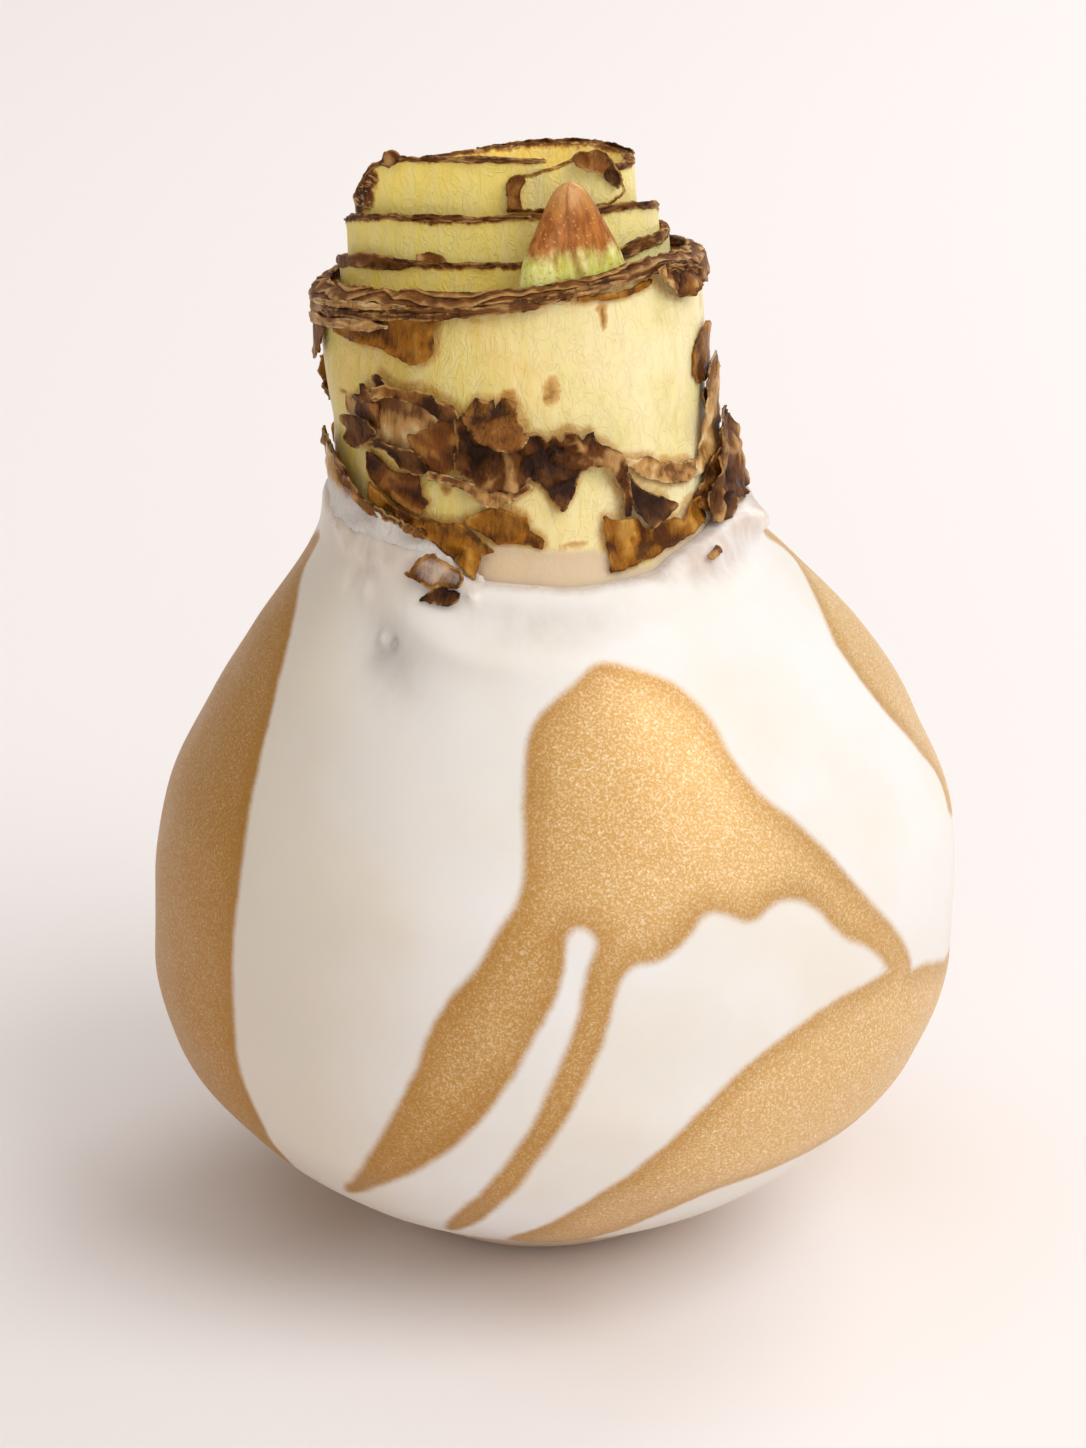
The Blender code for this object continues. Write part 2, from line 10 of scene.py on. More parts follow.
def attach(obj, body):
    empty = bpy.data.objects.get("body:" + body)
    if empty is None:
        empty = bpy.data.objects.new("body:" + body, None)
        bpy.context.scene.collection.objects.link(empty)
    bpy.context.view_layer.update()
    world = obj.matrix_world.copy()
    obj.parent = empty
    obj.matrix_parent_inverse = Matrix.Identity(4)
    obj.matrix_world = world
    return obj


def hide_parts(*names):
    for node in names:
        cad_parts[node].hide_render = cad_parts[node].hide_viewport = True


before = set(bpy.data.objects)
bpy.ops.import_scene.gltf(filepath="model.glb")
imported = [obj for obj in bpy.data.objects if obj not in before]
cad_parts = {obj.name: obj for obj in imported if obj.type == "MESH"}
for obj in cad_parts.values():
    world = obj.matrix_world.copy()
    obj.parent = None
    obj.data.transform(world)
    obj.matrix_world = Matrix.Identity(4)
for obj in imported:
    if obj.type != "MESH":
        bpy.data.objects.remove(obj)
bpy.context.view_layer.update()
mm = 0.001

# the photograph's camera, also used to set down what was read off it; search is how far before and
# behind its aim a sight line is followed, and in how many steps
view = {"elevation": 23, "distance": 650, "aimHeight": 62, "lens": 130.3, "sensor": 36,
        "focalPixels": 5241, "aimPixel": (554, 744), "size": (1086, 1448), "search": (80, 40, 481)}
tilt = math.radians(view["elevation"])
sightAway = np.array((0, math.cos(tilt), -math.sin(tilt)))
sightUp = np.array((0, math.sin(tilt), math.cos(tilt)))

# centre line and sections of the bulb, as in the solids; hidden are the levels of its rings inside the wax
sections = {
    "belly": 50.0, "foot": 15.5, "wax": 2.0, "gap": 0.3, "shoulder": 84.0,
    "hidden": (8, 16, 27, 40, 54, 66, 76),
    "waxShare": [(0, 0.31), (1.5, 0.372), (5, 0.478), (10, 0.646), (17, 0.81), (26, 0.946), (36, 0.998),
                 (46, 1.0), (56, 0.968), (66, 0.882), (76, 0.76), (84, 0.632), (88, 0.574), (92, 0.53),
                 (96, 0.51), (104, 0.5)],
    "flesh": [(84, 29.3), (88, 26.2), (92, 24.0), (96, 23.2), (101, 23.0), (105, 22.5), (108, 22.7),
              (112, 23.0), (116, 23.1), (120, 23.0), (124, 22.6), (130, 22.4)],
    "leanX": [(0, -1.8), (20, -0.9), (45, 0), (70, 0.6), (84, -0.6), (95, -2.6), (108, -4.5), (122, -5.3),
              (132, -6.2), (140, -6.9)],
    "leanY": [(0, 0), (70, 0), (84, 0.2), (95, 0.8), (108, 2.4), (122, 4.6), (132, 6.4), (140, 7.6)],
    "depth": [(0, 1.0), (80, 1.0), (100, 0.96), (122, 0.9), (140, 0.9)],
    "waxRim": [(0, 95.6), (40, 93.8), (75, 92.2), (110, 94.0), (150, 95.6), (185, 96.2), (208, 95.7),
               (225, 95.8), (238, 95.4), (246, 94.0), (255, 92.5), (270, 92.2), (280, 91.9), (292, 92.1),
               (304, 92.3), (312, 93.4), (330, 94.6), (345, 95.5)],
    "neckRim": [(0, 124.0), (45, 120.8), (90, 118.8), (135, 118.5), (180, 119.6), (225, 122.6),
                (270, 124.9), (315, 126.3)],
}


def curve(stations, at):
    # a smooth line through the stations that never overshoots them
    table = np.array(stations, float)
    x, y = table[:, 0], table[:, 1]
    at = np.clip(np.asarray(at, float), x[0], x[-1])
    rise = np.diff(y) / np.diff(x)
    slope = np.concatenate([rise[:1], np.zeros(len(x) - 2), rise[-1:]])
    sameWay = rise[:-1] * rise[1:] > 0
    both = np.where(sameWay, rise[:-1] + rise[1:], 1.0)
    slope[1:-1] = np.where(sameWay, 2 * rise[:-1] * rise[1:] / both, 0.0)
    k = np.clip(np.searchsorted(x, at, side="right") - 1, 0, len(x) - 2)
    step = x[k + 1] - x[k]
    t = (at - x[k]) / step
    return (y[k] * (1 + 2 * t) * (1 - t) ** 2 + y[k + 1] * t * t * (3 - 2 * t)
            + step * (slope[k] * t * (1 - t) ** 2 - slope[k + 1] * t * t * (1 - t)))


def around(stations, azimuth):
    # the same, closed round the bulb
    table = [(a - 360, v) for a, v in stations] + list(stations) + [(a + 360, v) for a, v in stations]
    return curve(table, np.mod(azimuth, 360))


def place(azimuth, height, radius):
    a = np.radians(azimuth)
    height = height + 0 * a
    x = curve(sections["leanX"], height) + radius * np.cos(a)
    y = curve(sections["leanY"], height) + radius * np.sin(a) * curve(sections["depth"], height)
    return np.stack([x, y, height], -1)


def ramp(value, low, high):
    # 0 below low, 1 above high, soft in between
    t = np.clip((value - low) / (high - low), 0, 1)
    return t * t * (3 - 2 * t)


def apart(azimuth, other):
    # the turn from other to azimuth, -180 to 180
    return (azimuth - other + 180) % 360 - 180


def outward(azimuth, reach=1.0):
    # level arrows this long, away from the axis
    a = np.radians(azimuth)
    return np.stack([np.cos(a), np.sin(a), 0 * a], -1) * reach


def treeOf(points):
    # a search tree over points of a plane or of space
    spots = points if points.shape[1] == 3 else np.pad(points, ((0, 0), (0, 1)))
    tree = kdtree.KDTree(len(spots))
    for k, spot in enumerate(spots):
        tree.insert(spot, k)
    tree.balance()
    return tree


def rough(points, size, seed=0.0, octaves=3):
    # smooth irregular values, about -1 to 1, whose lumps are this many mm wide
    flat = np.asarray(points, float).reshape(-1, np.shape(points)[-1]) / size
    values = [noise.fractal(Vector((*p, 0)[:3]) + Vector((seed, seed * 0.37, -seed)), 0.9, 2.1, octaves)
              for p in flat]
    return np.array(values).reshape(np.shape(points)[:-1])


def folded(points, size, seed=0.0):
    # sharp creases, as crumpled paper has them: 0 in the valleys, 1 on the ridges
    first = 1 - np.minimum(1, 2.2 * np.abs(rough(points, size, seed, 1)))
    second = 1 - np.minimum(1, 2.2 * np.abs(rough(points, size * 0.45, seed + 9, 1)))
    return 0.65 * first + 0.35 * second


def facets(flat, size, seed):
    # uneven flat facets that meet in creases, 0 to 1
    turn = 0.6 + seed
    spot = flat @ np.array(((math.cos(turn), -math.sin(turn)), (math.sin(turn), math.cos(turn)))) / size
    cell = np.floor(spot)
    u, v = spot[..., 0] - cell[..., 0], spot[..., 1] - cell[..., 1]
    flip = np.mod(cell[..., 0] + cell[..., 1], 2) > 0.5
    u = np.where(flip, 1 - u, u)

    def corner(a, b):
        a = np.where(flip, 1 - a, a) + cell[..., 0]
        return np.mod(np.sin(a * 12.9898 + (b + cell[..., 1]) * 78.233 + seed * 3.1) * 43758.5, 1)

    near = corner(0, 0) + u * (corner(1, 0) - corner(0, 0)) + v * (corner(0, 1) - corner(0, 0))
    far = corner(1, 1) + (1 - u) * (corner(0, 1) - corner(1, 1)) + (1 - v) * (corner(1, 0) - corner(1, 1))
    return np.where(u + v < 1, near, far)


def creased(points, size, seed=0.0):
    # crumpled paper: large facets with smaller ones on them, 0 in the valleys and 1 on the ridges
    flat = np.asarray(points, float)[..., :2]
    bend = np.stack([rough(flat, size * 1.6, seed + k, 1) for k in (0, 4)], -1) * size * 0.55
    large = facets(flat + bend, size * 0.8, seed)
    small = facets(flat + bend * 0.6, size * 0.36, seed + 2)
    return np.clip(1.55 * (0.66 * large + 0.34 * small) - 0.3, 0, 1)


def addObject(name, data):
    made = bpy.data.objects.new(name, data)
    bpy.context.scene.collection.objects.link(made)
    return made


def makeMesh(name, points, faces, slotName, paint, marks=None, replaced=(), bend=40):
    # one piece on the part's body; marks are values at its points for its material
    mesh = bpy.data.meshes.new(name)
    corners = [tuple(int(i) for i in f) for f in faces]
    mesh.from_pydata((np.asarray(points, float) * mm).tolist(), [], corners)
    for key, values in (marks or {}).items():
        mark = mesh.attributes.new(key, "FLOAT", "POINT")
        mark.data.foreach_set("value", np.asarray(values, np.float32).ravel())
    mesh.validate()
    mesh.update()
    mesh.shade_smooth()
    if bend:
        mesh.set_sharp_from_angle(angle=math.radians(bend))
    mesh.materials.append(paint)
    piece = addObject(name, mesh)
    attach(piece, "root")
    if replaced:
        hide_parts(*replaced)
    print(name, len(mesh.vertices), "points")


def ringFaces(rings, columns):
    # quads between rings of the same number of points
    i = np.arange(columns)
    j = (i + 1) % columns
    quads = [np.stack([i, j, columns + j, columns + i], 1) + k * columns for k in range(rings - 1)]
    return np.concatenate(quads)


def closeRing(first, columns, centre, upward):
    # triangles from a ring to its centre point
    i = np.arange(columns)
    j = (i + 1) % columns
    pair = (first + i, first + j) if upward else (first + j, first + i)
    return [(a, b, centre) for a, b in zip(*pair)]


def turnedPiece(name, rings, *rest, **more):
    # a closed skin from rings of points, from its bottom centre over the outside and in to its top centre
    columns = len(rings[0])
    bottom, top = rings[0].mean(axis=0), rings[-1].mean(axis=0)
    points = np.concatenate(rings + [bottom[None], top[None]])
    faces = [tuple(f) for f in ringFaces(len(rings), columns)]
    faces += closeRing(0, columns, len(points) - 2, False)
    faces += closeRing((len(rings) - 1) * columns, columns, len(points) - 1, True)
    marks = {key: np.concatenate([np.ravel(v), [np.mean(v[0]), np.mean(v[-1])]])
             for key, v in more.pop("marks", {}).items()}
    makeMesh(name, points, faces, *rest, marks=marks, **more)


def turnAndRadius(points, height):
    # azimuth and distance from the leaning centre line
    x = points[..., 0] - curve(sections["leanX"], height)
    y = (points[..., 1] - curve(sections["leanY"], height)) / curve(sections["depth"], height)
    return np.degrees(np.arctan2(y, x)), np.hypot(x, y)


def seen(pixels, radiusOf):
    # azimuth and height where the sight lines of these pixels first meet a skin
    pixels = np.asarray(pixels, float)
    eye = -sightAway * view["distance"] + np.array((0, 0, view["aimHeight"]))
    across = (pixels[:, :1] - view["aimPixel"][0]) / view["focalPixels"]
    down = (pixels[:, 1:] - view["aimPixel"][1]) / view["focalPixels"]
    line = sightAway + across * np.array((1.0, 0, 0)) - down * sightUp
    before, behind, steps = view["search"]
    reach = np.linspace(view["distance"] - before, view["distance"] + behind, steps)
    at = eye + reach[None, :, None] * line[:, None, :]
    height = np.clip(at[..., 2], 0.05, 139)
    azimuth, radius = turnAndRadius(at, height)
    outside = np.where(at[..., 2] < 0, 1.0, radius - radiusOf(azimuth, height))
    hit = outside <= 0
    k = np.where(hit.any(axis=1), hit.argmax(axis=1), outside.argmin(axis=1))
    rows = np.arange(len(pixels))
    last = np.maximum(k - 1, 0)
    a, b = outside[rows, last], outside[rows, k]
    share = np.where((a > 0) & (b < 0), a / np.maximum(a - b, 1e-9), 1.0)
    found = at[rows, last] + share[:, None] * (at[rows, k] - at[rows, last])
    return np.stack([np.mod(turnAndRadius(found, found[:, 2])[0], 360), found[:, 2]], -1)


def rounded(outline, spacing, passes):
    # a closed line through the given corners, with its corners rounded, in even steps
    line = np.asarray(outline, float)
    for _ in range(passes):
        after = np.roll(line, -1, axis=0)
        line = np.stack([0.75 * line + 0.25 * after, 0.25 * line + 0.75 * after], 1).reshape(-1, 2)
    closed = np.concatenate([line, line[:1]])
    along = np.concatenate([[0], np.cumsum(np.linalg.norm(np.diff(closed, axis=0), axis=1))])
    at = np.linspace(0, along[-1], max(8, int(along[-1] / spacing)), endpoint=False)
    return np.stack([np.interp(at, along, closed[:, c]) for c in (0, 1)], -1)


def within(points, outline):
    # which points of a plane lie inside a closed line
    x, y = points[:, 0], points[:, 1]
    inside = np.zeros(len(points), bool)
    for (x1, y1), (x2, y2) in zip(outline, np.roll(outline, -1, axis=0)):
        if y1 == y2:
            continue
        crosses = (y1 > y) != (y2 > y)
        inside ^= crosses & (x < x1 + (y - y1) * (x2 - x1) / (y2 - y1))
    return inside


class Wire:
    # an output of a material's node, which can be used in sums
    def __init__(self, paint, socket):
        self.paint = paint
        self.socket = socket

    def math(self, operation, *values):
        return self.paint.math(operation, self, *values)

    def __add__(self, other):
        return self.math("ADD", other)

    def __radd__(self, other):
        return self.math("ADD", other)

    def __sub__(self, other):
        return self.math("SUBTRACT", other)

    def __rsub__(self, other):
        return self.paint.math("SUBTRACT", other, self)

    def __mul__(self, other):
        return self.math("MULTIPLY", other)

    def __rmul__(self, other):
        return self.math("MULTIPLY", other)

    def least(self, other):
        return self.math("MINIMUM", other)

    def rise(self, low, high):
        # 0 at low and 1 at high, soft in between; low may be the larger one
        settings = {"interpolation_type": "SMOOTHSTEP", "clamp": True}
        return self.paint.node("ShaderNodeMapRange", settings, {0: self, 1: low, 2: high, 3: 0.0, 4: 1.0})


class Paint:
    # one material; its varying finish is worked out from wires
    def __init__(self, name, **plain):
        self.material = bpy.data.materials.new(name)
        self.material.use_nodes = True
        self.tree = self.material.node_tree
        self.shader = self.tree.nodes["Principled BSDF"]
        for key, value in plain.items():
            self.shader.inputs[key.replace("_", " ")].default_value = value
        self.spot = self.node("ShaderNodeTexCoord", {}, {}, "Object")

    def node(self, kind, settings, inputs, output=0):
        made = self.tree.nodes.new(kind)
        for key, value in settings.items():
            setattr(made, key, value)
        for key, value in inputs.items():
            socket = made.inputs[key]
            if isinstance(value, Wire):
                self.tree.links.new(value.socket, socket)
            elif socket.type == "RGBA" and len(value) == 3:
                socket.default_value = (*value, 1.0)
            else:
                socket.default_value = value
        return Wire(self, made.outputs[output])

    def math(self, operation, *values):
        return self.node("ShaderNodeMath", {"operation": operation}, dict(enumerate(values)))

    def mark(self, name):
        return self.node("ShaderNodeAttribute", {"attribute_name": name}, {}, "Fac")

    def axis(self, letter):
        return self.node("ShaderNodeSeparateXYZ", {}, {0: self.spot}, letter)

    def grain(self, size, detail=2.0, roughness=0.5, stretch=(1, 1, 1), twist=0.0):
        # cloudy values, about 0.3 to 0.7, whose lumps are this many mm wide
        spot = self.spot
        if stretch != (1, 1, 1):
            spot = self.node("ShaderNodeMapping", {}, {"Vector": spot, "Scale": [1 / s for s in stretch]})
        inputs = {"Vector": spot, "Scale": 1 / (size * mm), "Detail": detail, "Roughness": roughness,
                  "Distortion": twist}
        return self.node("ShaderNodeTexNoise", {}, inputs)

    def cells(self, size, output="Distance"):
        return self.node("ShaderNodeTexVoronoi", {}, {"Vector": self.spot, "Scale": 1 / (size * mm)}, output)

    def mix(self, share, first, second):
        return self.node("ShaderNodeMix", {"data_type": "RGBA"}, {0: share, 6: first, 7: second}, 2)

    def bump(self, height, depth):
        # a height of 1 stands this many mm above a height of 0
        return self.node("ShaderNodeBump", {}, {"Height": height, "Distance": depth * mm}, "Normal")

    def use(self, **wires):
        for key, wire in wires.items():
            self.tree.links.new(wire.socket, self.shader.inputs[key.replace("_", " ")])
        return self.material


print("camera, floor and light")
stageLook = {
    "floor": (0.87, 0.84, 0.845), "floorSize": 6.0, "sky": (1.0, 0.92, 0.84), "skyStrength": 0.44,
    "lampColour": (1.0, 0.99, 0.98),
    # place and size in metres, power in watts
    "lamps": {"key": ((1.4, -0.9, 1.75), 1.9, 30), "top": ((-0.1, -0.3, 2.2), 2.6, 10),
              "front": ((0.2, -1.7, 0.8), 1.5, 4.8), "back": ((0.5, 0.7, 0.7), 0.6, 3.0)},
}


def makeStage():
    lens = bpy.data.cameras.new("camera")
    lens.lens = view["lens"]
    lens.sensor_width = view["sensor"]
    lens.shift_x = (view["size"][0] / 2 - view["aimPixel"][0]) / view["size"][1]
    lens.shift_y = (view["aimPixel"][1] - view["size"][1] / 2) / view["size"][1]
    camera = addObject("camera", lens)
    reach = view["distance"] * mm
    aim = Vector((0, 0, view["aimHeight"] * mm))
    camera.location = aim + Vector((0, -reach * math.cos(tilt), reach * math.sin(tilt)))
    camera.rotation_euler = (math.pi / 2 - tilt, 0, 0)
    bpy.context.scene.camera = camera
    half = stageLook["floorSize"] / 2
    sheet = bpy.data.meshes.new("floor")
    corners = [(-half, -half, 0), (half, -half, 0), (half, half, 0), (-half, half, 0)]
    sheet.from_pydata(corners, [], [(0, 1, 2, 3)])
    sheet.materials.append(Paint("floorPaper", Base_Color=(*stageLook["floor"], 1), Roughness=0.9).material)
    addObject("floor", sheet)
    world = bpy.data.worlds.new("studio")
    world.use_nodes = True
    sky = world.node_tree.nodes["Background"]
    sky.inputs["Color"].default_value = (*stageLook["sky"], 1)
    sky.inputs["Strength"].default_value = stageLook["skyStrength"]
    bpy.context.scene.world = world
    for name, (spot, size, power) in stageLook["lamps"].items():
        lamp = bpy.data.lights.new(name, "AREA")
        lamp.shape = "DISK"
        lamp.size = size
        lamp.energy = power
        lamp.color = stageLook["lampColour"]
        light = addObject(name, lamp)
        light.location = spot
        light.rotation_euler = (aim - light.location).to_track_quat("-Z", "Y").to_euler()
    bpy.context.scene.view_settings.view_transform = "Standard"


makeStage()

print("wax coat")
wax = {
    # degree is how many mm a degree is worth near the rim
    "columns": 400, "step": 0.75, "lipDrop": 1.1, "lipShare": 0.45, "degree": 0.6,
    "lumps": 0.22, "wrinkles": 0.06, "wrinkleDegree": 0.42, "usualRim": 95,
    # azimuth, height, spread in degrees, spread in height, amount
    "relief": [(352, 62.5, 22, 3.2, -0.4), (352, 55, 22, 4.0, 0.45), (262, 86.5, 17, 1.6, 0.5),
               (228, 82, 11, 4.5, -0.6), (352, 96, 24, 4.0, 1.5), (349, 93.4, 6, 1.5, 2.0),
               (318, 60, 26, 9, 0.35), (205, 48, 24, 10, -0.35), (60, 52, 25, 10, 0.4),
               (120, 70, 25, 9, -0.45), (90, 30, 30, 8, 0.35), (262, 12, 24, 5, 0.3), (20, 20, 26, 6, -0.3)],
    # how far below its free edge the wax is thin enough to let the brown skins through
    "film": [(0, 2.5), (60, 1.5), (120, 1.5), (178, 4), (200, 7), (232, 7.5), (250, 3), (258, 0.4),
             (298, 0.4), (310, 2.5), (322, 5.5), (344, 5.0), (352, 3)],
    # soft rolls and dents below the rim: spread, then a line of pixels of the photograph with its amount
    "rolls": [(2.3, [(372, 597, 0.2), (408, 617, 0.8), (440, 637, 1.0), (477, 655, 1.1), (517, 661, 1.1),
                     (557, 659, 1.0), (600, 648, 0.8), (640, 634, 0.6), (690, 620, 0.4), (730, 600, 0.1)]),
              (2.0, [(430, 606, -0.1), (470, 620, -0.6), (520, 628, -0.8), (570, 626, -0.7),
                     (620, 612, -0.4), (665, 596, -0.1)]),
              (3.6, [(366, 620, -0.6), (378, 648, -1.5), (398, 680, -1.0), (420, 704, -0.3)]),
              (0.9, [(349, 580, -0.6), (356, 572, -0.6), (372, 569, -0.4)]), (0.8, [(386, 638, 0.9)]),
              (0.6, [(394, 643, -0.8)]), (0.75, [(473, 594, 1.0)]), (1.3, [(366, 590, 0.5)]),
              (1.3, [(340, 525, 0.5), (352, 548, 0.5), (380, 566, 0.3)]),
              (1.0, [(352, 536, -0.3), (366, 556, -0.4)]), (1.6, [(720, 590, 0.4), (760, 570, 0.4)]),
              (1.2, [(700, 585, -0.4), (742, 560, -0.4)])],
    "white": (0.84, 0.812, 0.795), "cream": (0.81, 0.755, 0.68), "veil": (0.60, 0.49, 0.42),
    # painted light on the wax: a warm glow and shade low down near the floor, painted shade in the dents,
    # and a painted shade colour for the left side
    "contactGlow": (0.72, 0.47, 0.27), "contactGlowBelow": 15, "dentShade": 0.5, "shade": (0.70, 0.60, 0.48),
    # gold colours; the lit one and the pale one are painted light, for the lit right side and for painted
    # glints
    "gold": (0.44, 0.205, 0.022), "goldLit": (0.69, 0.42, 0.15), "glintColour": (0.95, 0.79, 0.53),
    # the span of X in mm over which the wax and gold turn from painted shade on the left to painted light on
    # the right
    "goldDeep": (0.40, 0.175, 0.018), "lightSpan": (-34, 30),
}
# edges of the gold where the photograph shows them, in its pixels
goldSeen = {
    "patch and drips": [
        (608, 661), (646, 670), (678, 683), (703, 707), (718, 729), (732, 758), (757, 793), (799, 823),
        (831, 857), (863, 892), (894, 927), (907, 946), (914, 968), (900, 980), (888, 970), (879, 956),
        (860, 943), (847, 940), (831, 927), (818, 911), (805, 903), (789, 900), (770, 906), (757, 921),
        (745, 923), (732, 916), (716, 911), (703, 916), (694, 929), (684, 943), (668, 959), (652, 965),
        (636, 965), (624, 975), (617, 991), (612, 1010), (608, 1032), (601, 1051), (596, 1059), (577, 1103),
        (551, 1145), (520, 1186), (494, 1212), (462, 1231), (440, 1230), (459, 1210), (484, 1189),
        (510, 1157), (532, 1126), (545, 1097), (561, 1062), (574, 1030), (580, 1001), (583, 985), (590, 963),
        (597, 949), (596, 937), (586, 928), (577, 927), (569, 934), (566, 947), (564, 973), (555, 1004),
        (535, 1036), (520, 1068), (500, 1097), (478, 1126), (446, 1154), (414, 1173), (382, 1185),
        (357, 1195), (340, 1190), (357, 1175), (370, 1154), (386, 1126), (405, 1091), (417, 1065),
        (427, 1039), (440, 1011), (456, 990), (475, 969), (488, 947), (500, 928), (513, 909), (521, 890),
        (525, 860), (523, 815), (523, 768), (528, 736), (537, 717), (557, 697), (579, 677), (592, 664)],
}
# bands that run out of sight: the edge seen in the photograph, in pixels, and the rest as azimuth and
# height
goldBands = {
    "left": {"seen": [
        (312, 552), (304, 566), (299, 592), (293, 624), (285, 659), (277, 687), (269, 719), (261, 751),
        (255, 783), (248, 818), (244, 853), (239, 888), (235, 926), (233, 960), (233, 1008), (236, 1049),
        (245, 1087), (258, 1116), (271, 1136)], "far": [
        (212, 4), (186, 2.5), (160, 4), (148, 12), (143, 24), (146, 38), (152, 50), (150, 62), (156, 74),
        (166, 84), (178, 90), (190, 91.5)]},
    "upper right": {"seen": [
        (789, 550), (806, 581), (818, 605), (832, 640), (847, 662), (869, 691), (891, 720), (914, 745),
        (930, 763), (939, 777), (946, 796), (949, 819)], "far": [
        (370, 50), (378, 42), (388, 35), (397, 42), (394, 56), (386, 70), (378, 82), (366, 90),
        (352, 91.5)]},
    "lower right": {"seen": [
        (945, 962), (926, 961), (914, 968), (888, 969), (863, 985), (824, 1007), (793, 1028), (764, 1050),
        (735, 1074), (703, 1107), (671, 1139), (633, 1171), (592, 1197), (553, 1222), (512, 1235),
        (505, 1240), (560, 1243), (598, 1236), (620, 1230), (671, 1209), (722, 1187), (767, 1171),
        (805, 1155), (828, 1141)], "far": [
        (350, 17), (366, 11), (386, 7), (408, 7), (420, 11), (408, 18), (390, 26), (374, 34), (366, 39)]},
}
# gold on the far side, which the photograph doesn't show, as azimuth and height
goldFar = {
    "back patch": [(78, 84), (92, 86), (104, 80), (112, 68), (118, 52), (112, 40), (104, 36), (101, 20),
                   (97, 11), (92, 10), (92, 24), (88, 38), (80, 42), (72, 36), (66, 26), (58, 22), (60, 32),
                   (62, 44), (66, 58), (70, 72)],
}


# the soft rolls: spread, and points of their line as azimuth, height and amount
rolls = []


def rolled(azimuth, height, most=9.0):
    # how far the soft rolls stand out; each follows the nearest point of its line
    total = 0.0 * (azimuth + height)
    for spread, line in rolls:
        best, amount = np.full(total.shape, 1e6), 0.0 * total
        for at, level, deep in line:
            gap = (apart(azimuth, at) * wax["degree"]) ** 2 + (height - level) ** 2
            amount = np.where(gap < best, deep, amount)
            best = np.minimum(best, gap)
        total = total + np.minimum(amount, most) * np.exp(-best / spread ** 2)
    return total


def makeRolls():
    for spread, line in wax["rolls"]:
        line = np.array(line, float)
        spots = seen(line[:, :2], waxRadius)
        steps = np.linspace(0, len(line) - 1, 6 * len(line) - 5)
        marked = (spots[:, 0], spots[:, 1], line[:, 2])
        rolls.append((spread, np.stack([np.interp(steps, np.arange(len(line)), v) for v in marked], -1)))


def waxRadius(azimuth, height):
    total = sections["belly"] * curve(sections["waxShare"], height)
    for at, level, spread, rise, amount in wax["relief"]:
        total = total + amount * np.exp(-(apart(azimuth, at) / spread) ** 2 - ((height - level) / rise) ** 2)
    return total + rolled(azimuth, height)


def fleshRadius(azimuth, height):
    inside = sections["belly"] * curve(sections["waxShare"], height) - sections["wax"] - sections["gap"]
    return np.where(height < sections["shoulder"], inside, curve(sections["flesh"], height)) + 0 * azimuth


def goldDistance(azimuth, height, points):
    # signed distance to the gold's edge in mm, positive on the gold
    outlines = [seen(rounded(pixels, 4.0, 2), waxRadius) for pixels in goldSeen.values()]
    for band in goldBands.values():
        edge = seen(np.array(band["seen"], float), waxRadius)
        far = np.array(band["far"], float)
        if far[:, 0].max() > 360:
            edge[:, 0] = np.where(edge[:, 0] < 180, edge[:, 0] + 360, edge[:, 0])
        outlines.append(rounded(np.concatenate([edge, far]), 1.2, 2))
    outlines += [rounded(np.array(line, float), 1.2, 3) for line in goldFar.values()]
    for outline in outlines:
        outline[:, 0] = np.mod(outline[:, 0], 360)
        if outline[:, 0].max() - outline[:, 0].min() > 180:
            outline[:, 0] = np.where(outline[:, 0] < 180, outline[:, 0] + 360, outline[:, 0])

    def goldAt(spots, skip=None):
        spots = np.stack([np.mod(spots[:, 0], 360), spots[:, 1]], -1)
        others = [outline for k, outline in enumerate(outlines) if k != skip]
        shifted = [spots + (shift, 0) for shift in (0, 360)]
        return np.any([within(turned, outline) for outline in others for turned in shifted], axis=0)

    inside = goldAt(np.stack([azimuth.ravel(), height.ravel()], -1))
    samples = []
    for k, outline in enumerate(outlines):
        closed = np.concatenate([outline, outline[:1]])
        pieces = [np.linspace(p, q, 12, endpoint=False) for p, q in zip(closed[:-1], closed[1:])]
        fine = np.concatenate(pieces)
        fine = fine[~goldAt(fine, k)]
        samples.append(place(fine[:, 0], fine[:, 1], waxRadius(fine[:, 0], fine[:, 1])))
    tree = treeOf(np.concatenate(samples))
    gap = np.array([tree.find(p)[2] for p in points.reshape(-1, 3)])
    return np.where(inside, gap, -gap).reshape(azimuth.shape)


